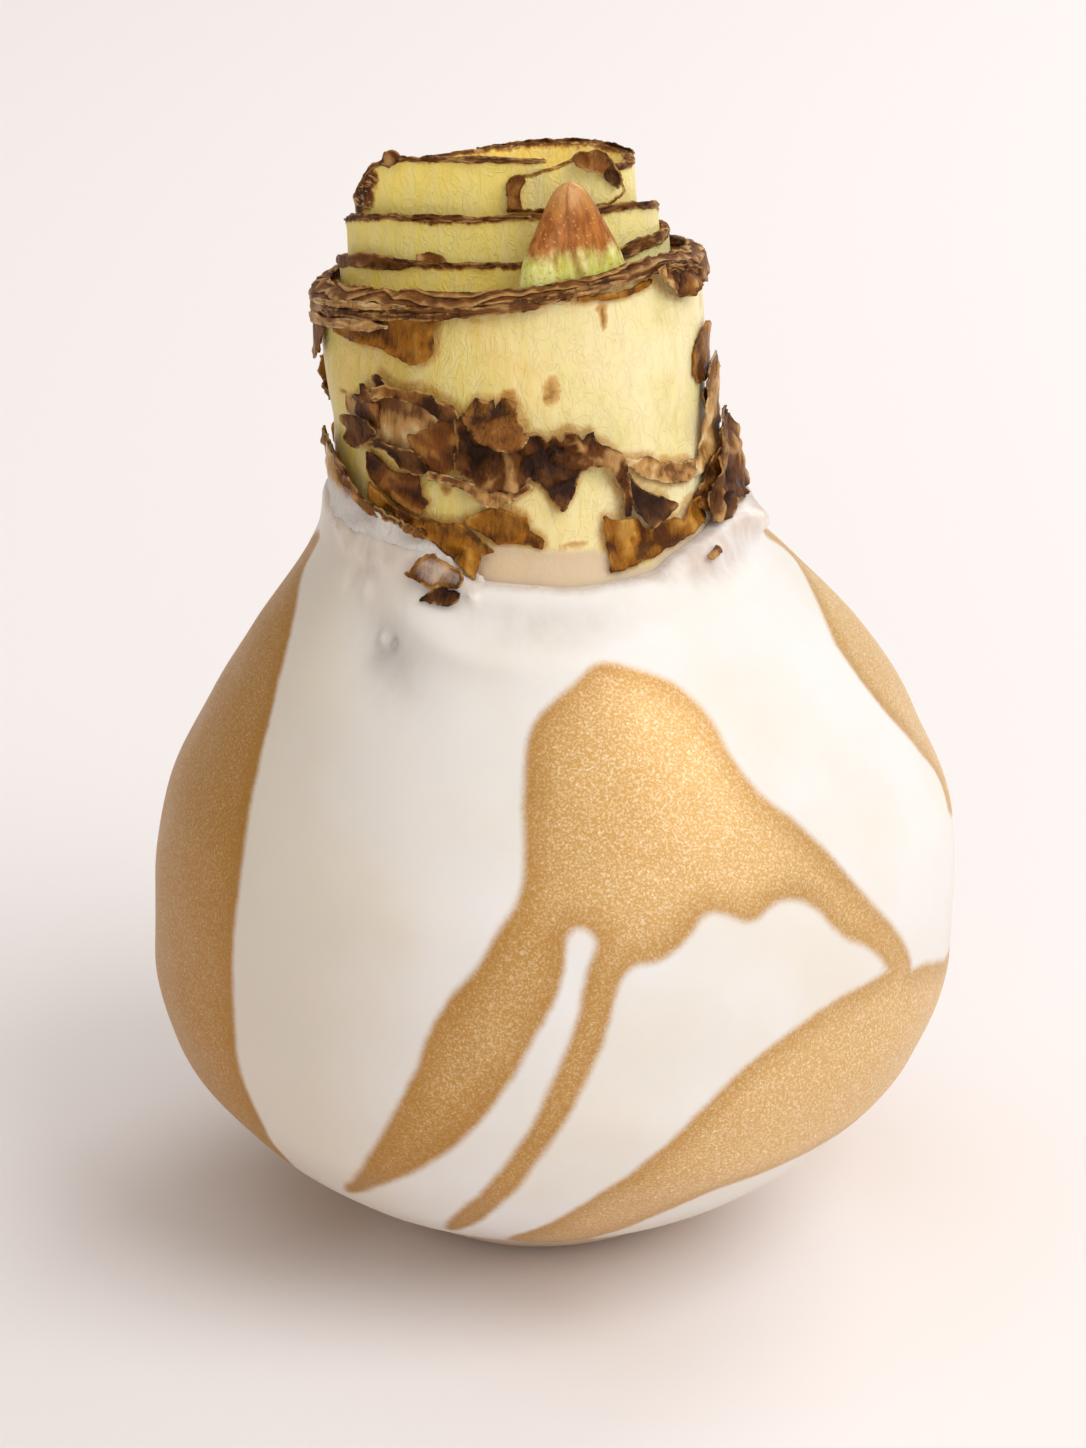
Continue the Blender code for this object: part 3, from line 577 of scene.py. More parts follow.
def waxPaint():
    paint = Paint("dippedWax", Subsurface_Weight=0.35, Subsurface_Radius=(1.0, 0.75, 0.55),
                  Subsurface_Scale=0.0035, Coat_Roughness=0.42, IOR=1.45, Specular_IOR_Level=0.38)
    wave = paint.grain(5, 3)
    fine = paint.grain(0.5, 2)
    edge = paint.mark("gold") + (wave - 0.5) * 0.8 + (fine - 0.5) * 0.3
    gold = edge.rise(-0.7, 0.75)
    deep = edge.rise(4.5, 0.3)
    cloud = paint.grain(22, 3).rise(0.35, 0.68)
    white = paint.mix(cloud, wax["white"], wax["cream"])
    film = paint.mark("film")
    streaks = paint.grain(2.2, 4, 0.6, (1, 1, 3.5)).rise(0.3, 0.7)
    white = paint.mix((film * (0.3 + 0.6 * streaks)).least(0.8), white, wax["veil"])
    level, across = paint.axis("Z"), paint.axis("X")
    left, right = [side * mm for side in wax["lightSpan"]]
    # painted shade: the wax turns darker and warmer towards its left side
    white = paint.mix(across.rise(0, left) * 0.5, white, wax["shade"])
    # painted light: a warm, darker glow low on the wax, near the floor
    white = paint.mix(level.rise(wax["contactGlowBelow"] * mm, 0) * 0.8, white, wax["contactGlow"])
    flakes = paint.cells(0.22, "Color")
    sparkle = paint.node("ShaderNodeSeparateColor", {}, {0: flakes})
    dust = paint.grain(0.3, 2, 0.65)
    patchy = (paint.grain(12, 3) - 0.5) * 0.03
    # painted light: the gold turns from its shaded colour on the left to its lit colour on the right
    lit = (across + patchy).rise(left, right)
    colour = paint.mix(lit, wax["gold"], wax["goldLit"])
    colour = paint.mix(deep * 0.4, colour, wax["goldDeep"])
    # painted glints: pale sparkle grains, stronger on the lit right side and weaker near the gold's edge
    grains = sparkle.rise(0.7, 1.0) * 0.45 + dust.rise(0.47, 0.62) * 0.45
    glint = grains * (0.35 + 0.65 * lit) * (1 - deep * 0.5)
    colour = paint.mix(glint.least(0.8), colour, wax["glintColour"])
    height = gold * (0.6 * dust + 0.4 * sparkle) * 0.3 + (1 - gold) * 0.08 * wave
    return paint.use(Base_Color=paint.mix(gold, white, colour), Metallic=gold * 0.3,
                     Coat_Weight=gold * glint * 0.5 + film * 0.2,
                     Roughness=0.36 + gold * 0.06 - film * 0.08 + (wave - 0.5) * 0.12,
                     Normal=paint.bump(height, 0.25))


def makeWax():
    makeRolls()
    turn = np.arange(wax["columns"]) * 360 / wax["columns"]
    rim = around(sections["waxRim"], turn)
    # rows at even steps along the belly's line
    rows = np.linspace(0, 1, 400)
    level = rows * wax["usualRim"]
    belly = sections["belly"] * curve(sections["waxShare"], level)
    length = np.hypot(np.diff(level), np.diff(belly))
    along = np.concatenate([[0], np.cumsum(length)])
    count = int(along[-1] / wax["step"])
    rings = []
    for share in np.interp(np.linspace(0, along[-1], count), along, rows):
        height = share * (rim - wax["lipDrop"])
        rings.append(place(turn, height, waxRadius(turn, height) if share else sections["foot"]))
    # the rounded lip, then down between wax and flesh
    for bend in (0.3, 0.6, 0.85, 1.0):
        angle = bend * math.pi / 2
        outside, inside = waxRadius(turn, rim), fleshRadius(turn, rim) + sections["gap"]
        middle = inside + wax["lipShare"] * (outside - inside)
        rings.append(place(turn, rim - wax["lipDrop"] * (1 - math.sin(angle)),
                           outside + (middle - outside) * (1 - math.cos(angle))))
    outer = len(rings)
    for share in (0.995, 0.97, 0.8, 0.55, 0.0):
        height = sections["shoulder"] + share * (rim - sections["shoulder"])
        rings.append(place(turn, height, fleshRadius(turn, height) + sections["gap"]))
    for level in (*sections["hidden"][::-1], 2):
        width = sections["belly"] * curve(sections["waxShare"], level)
        rings.append(place(turn, level, width - sections["wax"]))
    grid = np.stack(rings)
    azimuth = np.broadcast_to(turn, grid.shape[:2])
    skin = grid[:outer]
    lumps = rough(skin * (1, 1, 0.8), 13, 4.0, 2) * wax["lumps"]
    lumps *= ramp(skin[..., 2], 3, 14)
    below = rim - skin[..., 2]
    wrinkles = rough(np.stack([azimuth[:outer] * wax["wrinkleDegree"], skin[..., 2]], -1), 2.8, 7.0, 3)
    near = ramp(below, 12, 1) * ramp(below, 0.0, 0.6)
    skin += outward(azimuth[:outer]) * (lumps + wax["wrinkles"] * wrinkles * near)[..., None]
    gold = np.full(azimuth.shape, -9.0)
    gold[:outer] = goldDistance(azimuth[:outer], skin[..., 2], skin)
    film = ramp(rim - grid[..., 2], around(wax["film"], turn), 0.2 * around(wax["film"], turn))
    # painted shade: the dents of the soft rolls get more of the brown veil colour
    film[:outer] += np.clip(-rolled(azimuth[:outer], skin[..., 2], most=0.0), 0, 1.3) * wax["dentShade"]
    turnedPiece("waxCoat", list(grid), "wax", waxPaint(), marks={"gold": gold, "film": film},
                replaced=("wax_coat",), bend=60)


makeWax()

neck = {
    "columns": 300, "rows": 74, "wall": 1.8, "floor": 117.0, "slope": 0.14, "plate": 14.0, "degree": 0.4,
    "halo": 1.5,
    # painted light: the flesh is paler cream towards the lit right and ochre towards the shaded left, over
    # the span of X in mm given as side
    "ochre": (0.76, 0.53, 0.11), "cream": (0.94, 0.81, 0.48), "green": (0.72, 0.62, 0.16),
    "white": (0.92, 0.82, 0.52), "brown": (0.22, 0.08, 0.012), "burnt": (0.045, 0.012, 0.003),
    "amber": (0.58, 0.28, 0.05), "tan": (0.62, 0.37, 0.14), "side": (-17, 12),
    "veil": (0.66, 0.50, 0.37),
    # bruises: pixel in the photograph, half width and half height in mm, how brown
    "bruises": [((552, 391), 1.15, 1.7, 0.62), ((549, 398), 0.8, 0.7, 0.75), ((603, 317), 0.55, 1.5, 0.8),
                ((602, 308), 1.1, 0.35, 0.6), ((510, 394), 0.9, 0.8, 0.6), ((506, 402), 1.0, 0.7, 0.6),
                ((372, 394), 1.6, 0.4, 0.9), ((345, 393), 2.2, 0.3, 0.8), ((446, 488), 0.8, 0.9, 0.7),
                ((577, 545), 1.6, 0.5, 0.55), ((560, 548), 0.8, 0.4, 0.45), ((430, 322), 3.6, 1.0, 0.3),
                ((470, 320), 5.0, 0.7, 0.25), ((700, 300), 1.2, 1.5, 0.3)],
    # the thin film of wax that climbs the flesh: azimuth and its height above the wax rim
    "film": [(0, 1.5), (60, 2.2), (120, 1.2), (180, 2.5), (250, 0.8), (256, 3.4), (262, 4.2), (270, 4.0),
             (285, 3.9), (293, 2.8), (297, 0.6), (330, 0.6), (345, 2.0)],
}


def fleshPaint(name="bulbFlesh", green=0.6, look=neck):
    paint = Paint(name, Subsurface_Weight=0.3, Subsurface_Radius=(1.0, 0.7, 0.25), Subsurface_Scale=0.0025,
                  IOR=1.42, Specular_IOR_Level=0.16, Coat_Weight=0.06, Coat_Roughness=0.12)
    streaks = paint.grain(1.3, 4, 0.6, (1, 1, 9)).rise(0.3, 0.7)
    clouds = paint.grain(11, 3).rise(0.36, 0.66)
    fibres = paint.grain(0.5, 3, 0.6, (1, 1, 3), 0.6)
    # painted light: paler cream towards the lit right, ochre towards the shaded left
    left, right = [side * mm for side in look["side"]]
    side = (paint.axis("X") + (clouds - 0.5) * 0.006).rise(left, right)
    colour = paint.mix(side, look["ochre"], look["cream"])
    colour = paint.mix(clouds * green, colour, look["green"])
    colour = paint.mix(streaks * 0.35, colour, neck["white"])
    halo = paint.mark("halo")
    halo = (halo + (paint.grain(1.4, 4, 0.6) - 0.5) * 1.5 * halo).rise(0.25, 1.1)
    colour = paint.mix(halo * 0.75, colour, neck["amber"])
    stain = paint.mark("stain")
    stain = stain + (paint.grain(0.9, 3) - 0.5) * 0.7 * stain.rise(0.02, 0.3)
    colour = paint.mix(stain.rise(0.15, 0.55) * 0.75, colour, neck["amber"])
    colour = paint.mix(stain.rise(0.5, 1.0) * 0.8, colour, neck["brown"])
    edge = paint.mark("dry") + (paint.grain(1.0, 4, 0.65, (1, 1, 1.6)) - 0.5) * 1.3
    colour = paint.mix(edge.rise(0.25, 0.8) * 0.7, colour, neck["amber"])
    colour = paint.mix(edge.rise(0.55, 0.9), colour, neck["brown"])
    colour = paint.mix(edge.rise(0.85, 1.2) * 0.9, colour, neck["burnt"])
    frayed = paint.grain(0.7, 3, 0.6, (2.5, 2.5, 1)).rise(0.53, 0.62)
    colour = paint.mix(edge.rise(0.6, 0.9) * frayed * 0.8, colour, neck["tan"])
    veil = paint.mark("veil")
    colour = paint.mix(veil * 0.78, colour, neck["veil"])
    pits = paint.cells(1.1).rise(0.0, 0.35)
    creases = (paint.grain(1.6, 3, 0.55, (1, 1, 1.8), 1.2) - 0.5).math("ABSOLUTE").rise(0.06, 0.0)
    height = (fibres * 0.7 + pits * 0.15 + creases * 0.35) * (1 - veil * 0.7)
    height = height + edge.rise(0.4, 0.9) * paint.grain(0.4, 3, 0.6, (3, 3, 1)) * 2.2
    gloss = 0.36 + edge.rise(0.3, 0.8) * 0.3 + (fibres - 0.5) * 0.25 - veil * 0.08
    return paint.use(Base_Color=colour, Roughness=gloss, Normal=paint.bump(height, 0.16))


def bruiseMarks(azimuth, height):
    total = 0 * azimuth
    spots = seen([spot for spot, _, _, _ in neck["bruises"]], fleshRadius)
    for (at, level), (_, wide, tall, deep) in zip(spots, neck["bruises"]):
        away = (apart(azimuth, at) * neck["degree"] / wide) ** 2 + ((height - level) / tall) ** 2
        total = np.maximum(total, deep * 1.25 * np.exp(-away ** 1.4))
    return total


def outlineDistance(azimuth, height, outlines, reach):
    # 1 at the nearest of these outlines, fading to 0 this many mm away
    tree = treeOf(np.concatenate(outlines) * (neck["degree"], 1))
    flat = zip((np.mod(azimuth, 360) * neck["degree"]).ravel(), height.ravel())
    gap = np.array([tree.find((x, y, 0))[2] for x, y in flat]).reshape(azimuth.shape)
    return ramp(gap, reach, 0)


def onFloor(points, gap):
    # these points brought down to the sloping floor, or this far above it
    back = points[..., 1] - curve(sections["leanY"], neck["floor"])
    points[..., 2] = neck["floor"] + gap - neck["slope"] * back
    return points


def makeFlesh():
    turn = np.arange(neck["columns"]) * 360 / neck["columns"]
    rim = around(sections["neckRim"], turn)
    rings = [place(turn, sections["wax"] + sections["gap"], neck["plate"])]
    for level in sections["hidden"]:
        rings.append(place(turn, level, fleshRadius(turn, np.float64(level))))
    first = len(rings)
    for share in np.linspace(0, 1, neck["rows"]):
        height = sections["shoulder"] + share * (rim - sections["shoulder"])
        rings.append(place(turn, height, fleshRadius(turn, height)))
    last = len(rings)
    width = fleshRadius(turn, rim)
    for inset in (0.5, 1.2, neck["wall"]):
        rings.append(place(turn, rim + 0.2 * math.sin(inset * 1.7), width - inset))
    inner = width - neck["wall"]
    floorHeight = onFloor(place(turn, neck["floor"], inner), 0)[:, 2]
    for share in (0.7, 0.4, 0.15):
        rings.append(place(turn, floorHeight + share * (rim - floorHeight), inner))
    floorWidth = fleshRadius(turn, np.float64(neck["floor"])) - neck["wall"]
    for share in np.linspace(1, 0.04, 16):
        rings.append(onFloor(place(turn, neck["floor"], share * floorWidth), 0))
    grid = np.stack(rings)
    azimuth = np.broadcast_to(turn, grid.shape[:2]).copy()
    height = grid[..., 2]
    outer = slice(first, last)
    away = outward(azimuth)[outer]
    ripple = rough(np.stack([azimuth[outer] * neck["degree"], height[outer] * 0.12], -1), 2.4, 2.0, 2) * 0.07
    swell = rough(grid[outer], 14, 5.0, 2) * 0.12
    grid[outer] += away * np.minimum(ripple + swell, 0.15)[..., None]
    above = height - around(sections["waxRim"], azimuth)
    lip = around(neck["film"], azimuth)
    brim = np.exp(-((above[outer] - lip[outer] + 0.2) / 0.3) ** 2) * ramp(lip[outer], 1.0, 2.5)
    grid[outer] += away * (0.2 * brim)[..., None]
    marks = {key: 0 * azimuth for key in ("stain", "halo", "veil", "dry")}
    marks["stain"][outer] = bruiseMarks(azimuth[outer], height[outer])
    marks["halo"][outer] = outlineDistance(azimuth[outer], height[outer], haloLines, neck["halo"])
    marks["veil"][outer] = ramp(above, lip + 0.25, lip - 0.25)[outer]
    marks["dry"][outer] = ramp(rim - height, 1.6, 0.0)[outer] * 0.9
    marks["dry"][last:last + 4] = 0.9
    marks["dry"][last + 4:] = 0.35
    turnedPiece("bulbFlesh", list(grid), "neck_flesh", fleshPaint(), marks=marks, replaced=("bulb_body",))


scales = {
    "columns": 260, "taper": 0.03, "budTip": 136.7, "reach": 18,
    "centreX": [(115, -4.9), (122, -5.8), (130, -6.3), (138, -6.7)],
    "centreY": [(115, 5.4), (122, 6.0), (130, 6.9), (138, 7.2)],
    "rings": {
        "leafBaseOuter": {"node": "leaf_base_outer", "wide": 20.2, "deep": 12.3, "wall": 0.7, "seed": 3,
                          "rim": [(0, 127.4), (60, 123.6), (120, 121.6), (180, 123.4), (225, 125.6),
                                  (270, 126.2), (300, 126.2), (330, 127.4)]},
        "leafBaseMiddle": {"node": "leaf_base_middle", "wide": 19.1, "deep": 10.6, "wall": 0.7, "seed": 8,
                           "rim": [(0, 129.5), (60, 127.0), (120, 126.2), (180, 128.0), (225, 130.6),
                                   (270, 131.3), (315, 131.6), (340, 131.0)]},
        "leafBaseInner": {"node": "leaf_base_inner", "wide": 16.6, "deep": 7.0, "wall": 1.2, "seed": 13,
                          "rim": [(0, 135.6), (45, 135.9), (90, 135.0), (135, 133.4), (180, 131.0),
                                  (225, 133.4), (270, 135.2), (300, 135.4), (330, 135.5)]}},
    "heart": 5.5,
    # the cut leaf bases' colours; from ochre on the left to cream on the right, over the span of X in mm
    # given as side, is painted light
    "look": {"ochre": (1.0, 0.75, 0.17), "cream": (1.0, 0.90, 0.50), "green": (0.92, 0.76, 0.18),
             "side": (-16, 34)},
}
wrap = {"wide": 18.0, "deep": 8.7, "wall": 0.8, "from": 110, "to": 289, "columns": 170, "rows": 26,
        "rim": [(110, 130.2), (150, 130.0), (180, 130.6), (196, 132.6), (214, 136.2), (232, 137.5),
                (270, 137.9), (289, 137.7)],
        # the burnt corner: azimuth and height, half width in degrees, half height
        "burnt": [(200, 131.8, 13, 2.4), (208, 134.0, 8, 1.6), (193, 130.0, 9, 1.6)]}


def scaleWall(turn, height, wide, deep):
    a = np.radians(turn)
    height = height + 0 * a
    shrink = 1 - scales["taper"] * (height - neck["floor"]) / (scales["budTip"] - neck["floor"])
    x = curve(scales["centreX"], height) + wide * shrink * np.cos(a)
    y = curve(scales["centreY"], height) + deep * shrink * np.sin(a)
    return np.stack([x, y, height], -1)


def frayed(turn, seed, size=1.3, amount=0.16):
    # the uneven height of a dry cut edge
    spot = outward(turn, scales["reach"])
    return amount * rough(spot, size, seed, 3) + 0.3 * rough(spot, 7.0, seed + 5, 2) - 0.2


def makeScales(paint):
    columns = scales["columns"]
    turn = np.arange(columns) * 360 / columns
    levels = np.concatenate([np.linspace(0, 0.75, 14), np.linspace(0.8, 1, 12)])
    for name, ring in scales["rings"].items():
        wide, deep, wall = ring["wide"], ring["deep"], ring["wall"]
        rim = around(ring["rim"], turn) + frayed(turn, ring["seed"])
        foot = onFloor(scaleWall(turn, neck["floor"], wide, deep), sections["gap"])[:, 2]
        outside, inside, dry, wet = [], [], [], []
        for share in levels:
            height = foot + share * (rim - foot)
            flare = 0.16 * ramp(rim - height, 1.3, 0.2) - 0.22 * ramp(rim - height, 0.3, 0.0)
            outside.append(scaleWall(turn, height, wide + flare, deep + flare))
            dry.append(ramp(rim - height, 1.25, 0.1))
        if name == "leafBaseInner":
            # closed, with a creased hollow in its top
            for share in np.linspace(0, 1, 16):
                height = rim - scales["heart"] * ramp(share, 0, 1)
                thick = wall * (1 + 0.9 * share) - 0.2 * ramp(share, 0.2, 0)
                inside.append(scaleWall(turn, height, wide - thick, deep - thick))
                wet.append(0 * turn + ramp(share, 0.35, 0.0))
            last = inside[-1]
            middle = last.mean(axis=0)
            for share in (0.75, 0.5, 0.25, 0.08):
                crease = 0.5 * np.cos(share * 18)
                inside.append(middle + (last - middle) * (share, share, 1) + (0, 0, crease))
                wet.append(0 * turn + 0.25)
            turnedPiece(name, outside + inside, "leaf_base", paint,
                        marks={"dry": np.concatenate([dry, wet])}, replaced=(ring["node"],), bend=0)
            continue
        for share in levels[::-1]:
            height = foot + share * (rim - foot)
            thick = wall + (0.1 * ramp(rim - height, 1.2, 0.2) - 0.2 * ramp(rim - height, 0.3, 0.0))
            inside.append(scaleWall(turn, height, wide - thick, deep - thick))
        # an open wall: its last ring meets its first
        grid = np.stack(outside + inside)
        count = len(grid) * columns
        faces = ringFaces(len(grid) + 1, columns) % count
        makeMesh(name, grid.reshape(-1, 3), faces, "leaf_base", paint,
                 marks={"dry": np.concatenate([dry, dry[::-1]])}, replaced=(ring["node"],), bend=0)


def makeWrap(paint):
    turn = np.linspace(wrap["from"], wrap["to"], wrap["columns"])
    rim = curve(wrap["rim"], turn) + frayed(turn, 21)
    faces, dries, stains = [], [], []
    for inset in (0, wrap["wall"]):
        rows, dry, stain = [], [], []
        wide, deep = wrap["wide"] - inset, wrap["deep"] - inset
        foot = onFloor(scaleWall(turn, neck["floor"], wide, deep), sections["gap"])[:, 2]
        for share in np.linspace(0, 1, wrap["rows"]):
            height = foot + share * (rim - foot)
            curl = 0.25 * ramp(rim - height, 1.2, 0.0) * (1 if inset == 0 else 0.4)
            rows.append(scaleWall(turn, height, wide + curl, deep + curl))
            step = ramp(turn, wrap["to"] - 7, wrap["to"] - 3.5) * ramp(height, 134.6, 133.8)
            dry.append(np.maximum(ramp(rim - height, 1.1, 0.1), step))
            burn = 0 * turn
            for at, level, broad, tall in wrap["burnt"]:
                away = ((turn - at) / broad) ** 2 + ((height - level) / tall) ** 2
                burn = np.maximum(burn, np.exp(-away ** 2))
            stain.append(burn)
        faces.append(np.stack(rows, 1))
        dries.append(np.maximum(np.stack(dry, 1), 1.15 * np.stack(stain, 1)))
    shellPiece("leafBaseWrap", faces[0], faces[1], "leaf_base", paint, {"dry": dries}, ("leaf_base_wrap",))


def shellPiece(name, outer, inner, slotName, paint, marks, replaced=(), bend=0):
    # a closed sheet between two grids of points
    steps, lanes = outer.shape[:2]
    number = np.arange(steps * lanes).reshape(steps, lanes)
    a, b, c, d = number[:-1, :-1], number[1:, :-1], number[1:, 1:], number[:-1, 1:]
    front = np.stack([a, b, c, d], -1).reshape(-1, 4)
    far = steps * lanes
    border = list(number[0, :]) + list(number[1:, -1]) + list(number[-1, -2::-1]) + list(number[-2:0:-1, 0])
    faces = [tuple(f) for f in front] + [tuple(far + f[::-1]) for f in front]
    faces += [(p, q, far + q, far + p) for p, q in zip(border, border[1:] + border[:1])]
    both = {key: np.concatenate([v[0].ravel(), v[1].ravel()]) for key, v in marks.items()}
    points = np.concatenate([outer.reshape(-1, 3), inner.reshape(-1, 3)])
    makeMesh(name, points, faces, slotName, paint, both, replaced, bend)


bud = {
    "columns": 96, "rows": 70, "footAt": (2.45, -8.95), "tipAt": (1.8, -7.5), "turn": math.radians(25),
    "sharp": 0.88,
    "sections": [(119.75, 6.6, 2.8), (122.2, 6.9, 2.8), (124.6, 7.0, 2.8), (127, 6.5, 2.8),
                 (129.5, 5.4, 2.6), (131.7, 4.2, 2.4), (133.6, 3.2, 2.0), (135.3, 2.2, 1.5),
                 (136.3, 1.2, 0.9), (136.68, 0.35, 0.3)],
    "red": (0.50, 0.18, 0.03), "deepRed": (0.29, 0.085, 0.012), "green": (0.68, 0.66, 0.13),
    "paleGreen": (0.90, 0.88, 0.38), "tan": (0.80, 0.46, 0.16),
}


def budPaint():
    paint = Paint("bud", Subsurface_Weight=0.2, Subsurface_Radius=(1.0, 0.5, 0.3), Subsurface_Scale=0.0012,
                  Specular_IOR_Level=0.2, Coat_Weight=0.3, Coat_Roughness=0.12)
    share, seam = paint.mark("level"), paint.mark("seam")
    level = share + (paint.grain(1.6, 3, 0.6, (1, 1, 2)) - 0.5) * 0.3
    specks = paint.cells(0.7).rise(0.32, 0.12)
    streaks = paint.grain(0.8, 3, 0.6, (1, 1, 6)).rise(0.35, 0.68)
    red = paint.mix(streaks, bud["deepRed"], bud["red"])
    red = paint.mix(share.rise(0.75, 1.0) * 0.5, red, bud["tan"])
    green = paint.mix(streaks, bud["green"], bud["paleGreen"])
    colour = paint.mix(level.rise(0.44, 0.6), green, red)
    colour = paint.mix(specks * share.rise(0.12, 0.4) * 0.45, colour, bud["tan"])
    colour = paint.mix(seam * 0.7, colour, bud["deepRed"])
    height = specks * 0.5 + streaks * 0.3 + paint.grain(0.45, 2) * 0.5
    gloss = 0.32 + (streaks - 0.5) * 0.12
    return paint.use(Base_Color=colour, Roughness=gloss, Normal=paint.bump(height, 0.12))


def makeBud():
    a = np.arange(bud["columns"]) * 2 * np.pi / bud["columns"]
    table = np.array(bud["sections"])
    low, high = table[0, 0], table[-1, 0]
    rings, level, seam = [], [], []
    for share in 1 - (1 - np.linspace(0, 1, bud["rows"])) ** 1.3:
        height = low + share * (high - low)
        wide, deep = curve(table[:, :2], height), curve(table[:, (0, 2)], height)
        line = -math.pi / 2 + 0.25 - 0.75 * share
        turn = (a - line + np.pi) % (2 * np.pi) - np.pi
        fold = (0.22 * ramp(turn, -0.02, 0.06) * ramp(turn, 0.7, 0.05)
                * ramp(share, 0.0, 0.15) * ramp(share, 1, 0.8))
        across = (wide + fold) * np.sign(np.cos(a)) * np.abs(np.cos(a)) ** bud["sharp"]
        along = (deep + fold) * np.sin(a)
        x = bud["footAt"][0] + share * (bud["tipAt"][0] - bud["footAt"][0])
        y = bud["footAt"][1] + share * (bud["tipAt"][1] - bud["footAt"][1])
        x = x + across * math.cos(bud["turn"]) - along * math.sin(bud["turn"])
        y = y + across * math.sin(bud["turn"]) + along * math.cos(bud["turn"])
        rings.append(np.stack([x, y, height + 0 * a], -1))
        level.append(0 * a + share)
        seam.append(ramp(np.abs(turn - 0.01), 0.09, 0.0) * ramp(share, 0.15, 0.35) + 0 * a)
    turnedPiece("bud", rings, "bud", budPaint(), marks={"level": np.stack(level), "seam": np.stack(seam)},
                replaced=("flower_bud",), bend=0)


# clear is the least gap under a skin, curlReach how far in from its edge it curls, and leafRim how wide
# the dry rim of a fleshy scrap is
papers = {"thick": 0.22, "clear": 0.12, "curlReach": 0.7, "waxed": (0.70, 0.64, 0.59), "leafRim": 0.8,
          "lanes": 9}
# what a skin has where its own entry doesn't say otherwise
usualSkin = {"ragged": 0.2, "size": 3.0, "spacing": 0.24, "coated": 0, "node": None, "slot": None}
leafPaint = fleshPaint("cutLeafBase", 0.35, scales["look"])


def paperPaint(name, dark, middle, light, clear=0.0, gloss=0.4, along=(1, 1, 5)):
    paint = Paint(name, Subsurface_Weight=0.1, Subsurface_Radius=(1.0, 0.5, 0.2), Subsurface_Scale=0.001,
                  Specular_IOR_Level=0.16, Coat_Roughness=0.22)
    clouds = paint.grain(2.2, 4, 0.65)
    fibres = paint.grain(0.4, 3, 0.65, along, 0.5)
    fold = paint.mark("fold")
    # tone from the clouds and fibres, with painted light from the folds: lighter on their ridges, darker in
    # their creases
    shade = (clouds - 0.5) * 0.9 + (fibres - 0.5) * 0.9 + (fold - 0.5) * 0.9 + 0.36
    colour = paint.mix(shade.rise(-0.15, 0.5), dark, middle)
    colour = paint.mix(shade.rise(0.45, 1.15), colour, light)
    # painted highlights on the ridges of the folds and painted shade in their creases
    colour = paint.mix(fold.rise(0.6, 0.9) * 0.6, colour, light)
    colour = paint.mix(fold.rise(0.32, 0.05) * 0.65, colour, dark)
    rim = paint.mark("edge")
    # painted highlight: lighter along the skin's edge, in patches
    edgeHighlight = rim.rise(0.3, 0.02) * clouds.rise(0.44, 0.56) * (0.2 if clear else 0.6)
    colour = paint.mix(edgeHighlight, colour, light)
    colour = paint.mix(rim.rise(0.4, 0.05) * clouds.rise(0.62, 0.4) * 0.5, colour, dark)
    cover = paint.mark("waxed")
    cover = cover + (clouds - 0.5) * 0.8 * cover.rise(0.0, 0.2)
    colour = paint.mix(cover.rise(0.1, 0.9), colour, papers["waxed"])
    height = fibres * 0.6 + clouds * 0.8 + fold * 0.5
    wires = {"Base_Color": colour, "Roughness": gloss + (fibres - 0.5) * 0.35,
             "Normal": paint.bump(height, 0.4), "Coat_Weight": shade.rise(0.45, 1.1) * 0.4}
    if clear:
        wires["Alpha"] = 1 - clear * rim.rise(0.1, 0.5) * clouds.rise(0.35, 0.6)
    return paint.use(**wires)


# dark, middle and light colour, how clear, how rough, how long its fibres are each way
paperLooks = {
    "dark": ("darkSkin", (0.022, 0.006, 0.001), (0.135, 0.044, 0.006), (0.60, 0.33, 0.11)),
    "middle": ("drySkin", (0.035, 0.010, 0.001), (0.24, 0.088, 0.012), (0.68, 0.40, 0.14)),
    "pale": ("paleSkin", (0.15, 0.05, 0.01), (0.50, 0.265, 0.08), (0.82, 0.60, 0.32)),
    "amber": ("amberSkin", (0.09, 0.024, 0.001), (0.38, 0.14, 0.008), (0.68, 0.35, 0.06), 0.4, 0.28),
    "russet": ("russetSkin", (0.045, 0.010, 0.001), (0.18, 0.054, 0.006), (0.42, 0.18, 0.032), 0.25, 0.3),
    "folded": ("foldedSkin", (0.022, 0.005, 0.001), (0.17, 0.06, 0.01), (0.55, 0.31, 0.105), 0.0, 0.4,
               (6, 6, 1)),
}
paperPaints = {kind: paperPaint(*look) for kind, look in paperLooks.items()}
paperPaints["leaf"] = leafPaint
slotOf = {"dark": "dark_skin", "middle": "dry_skin", "pale": "pale_skin", "amber": "amber_skin",
          "russet": "dark_skin", "leaf": "leaf_base", "folded": "dry_skin"}


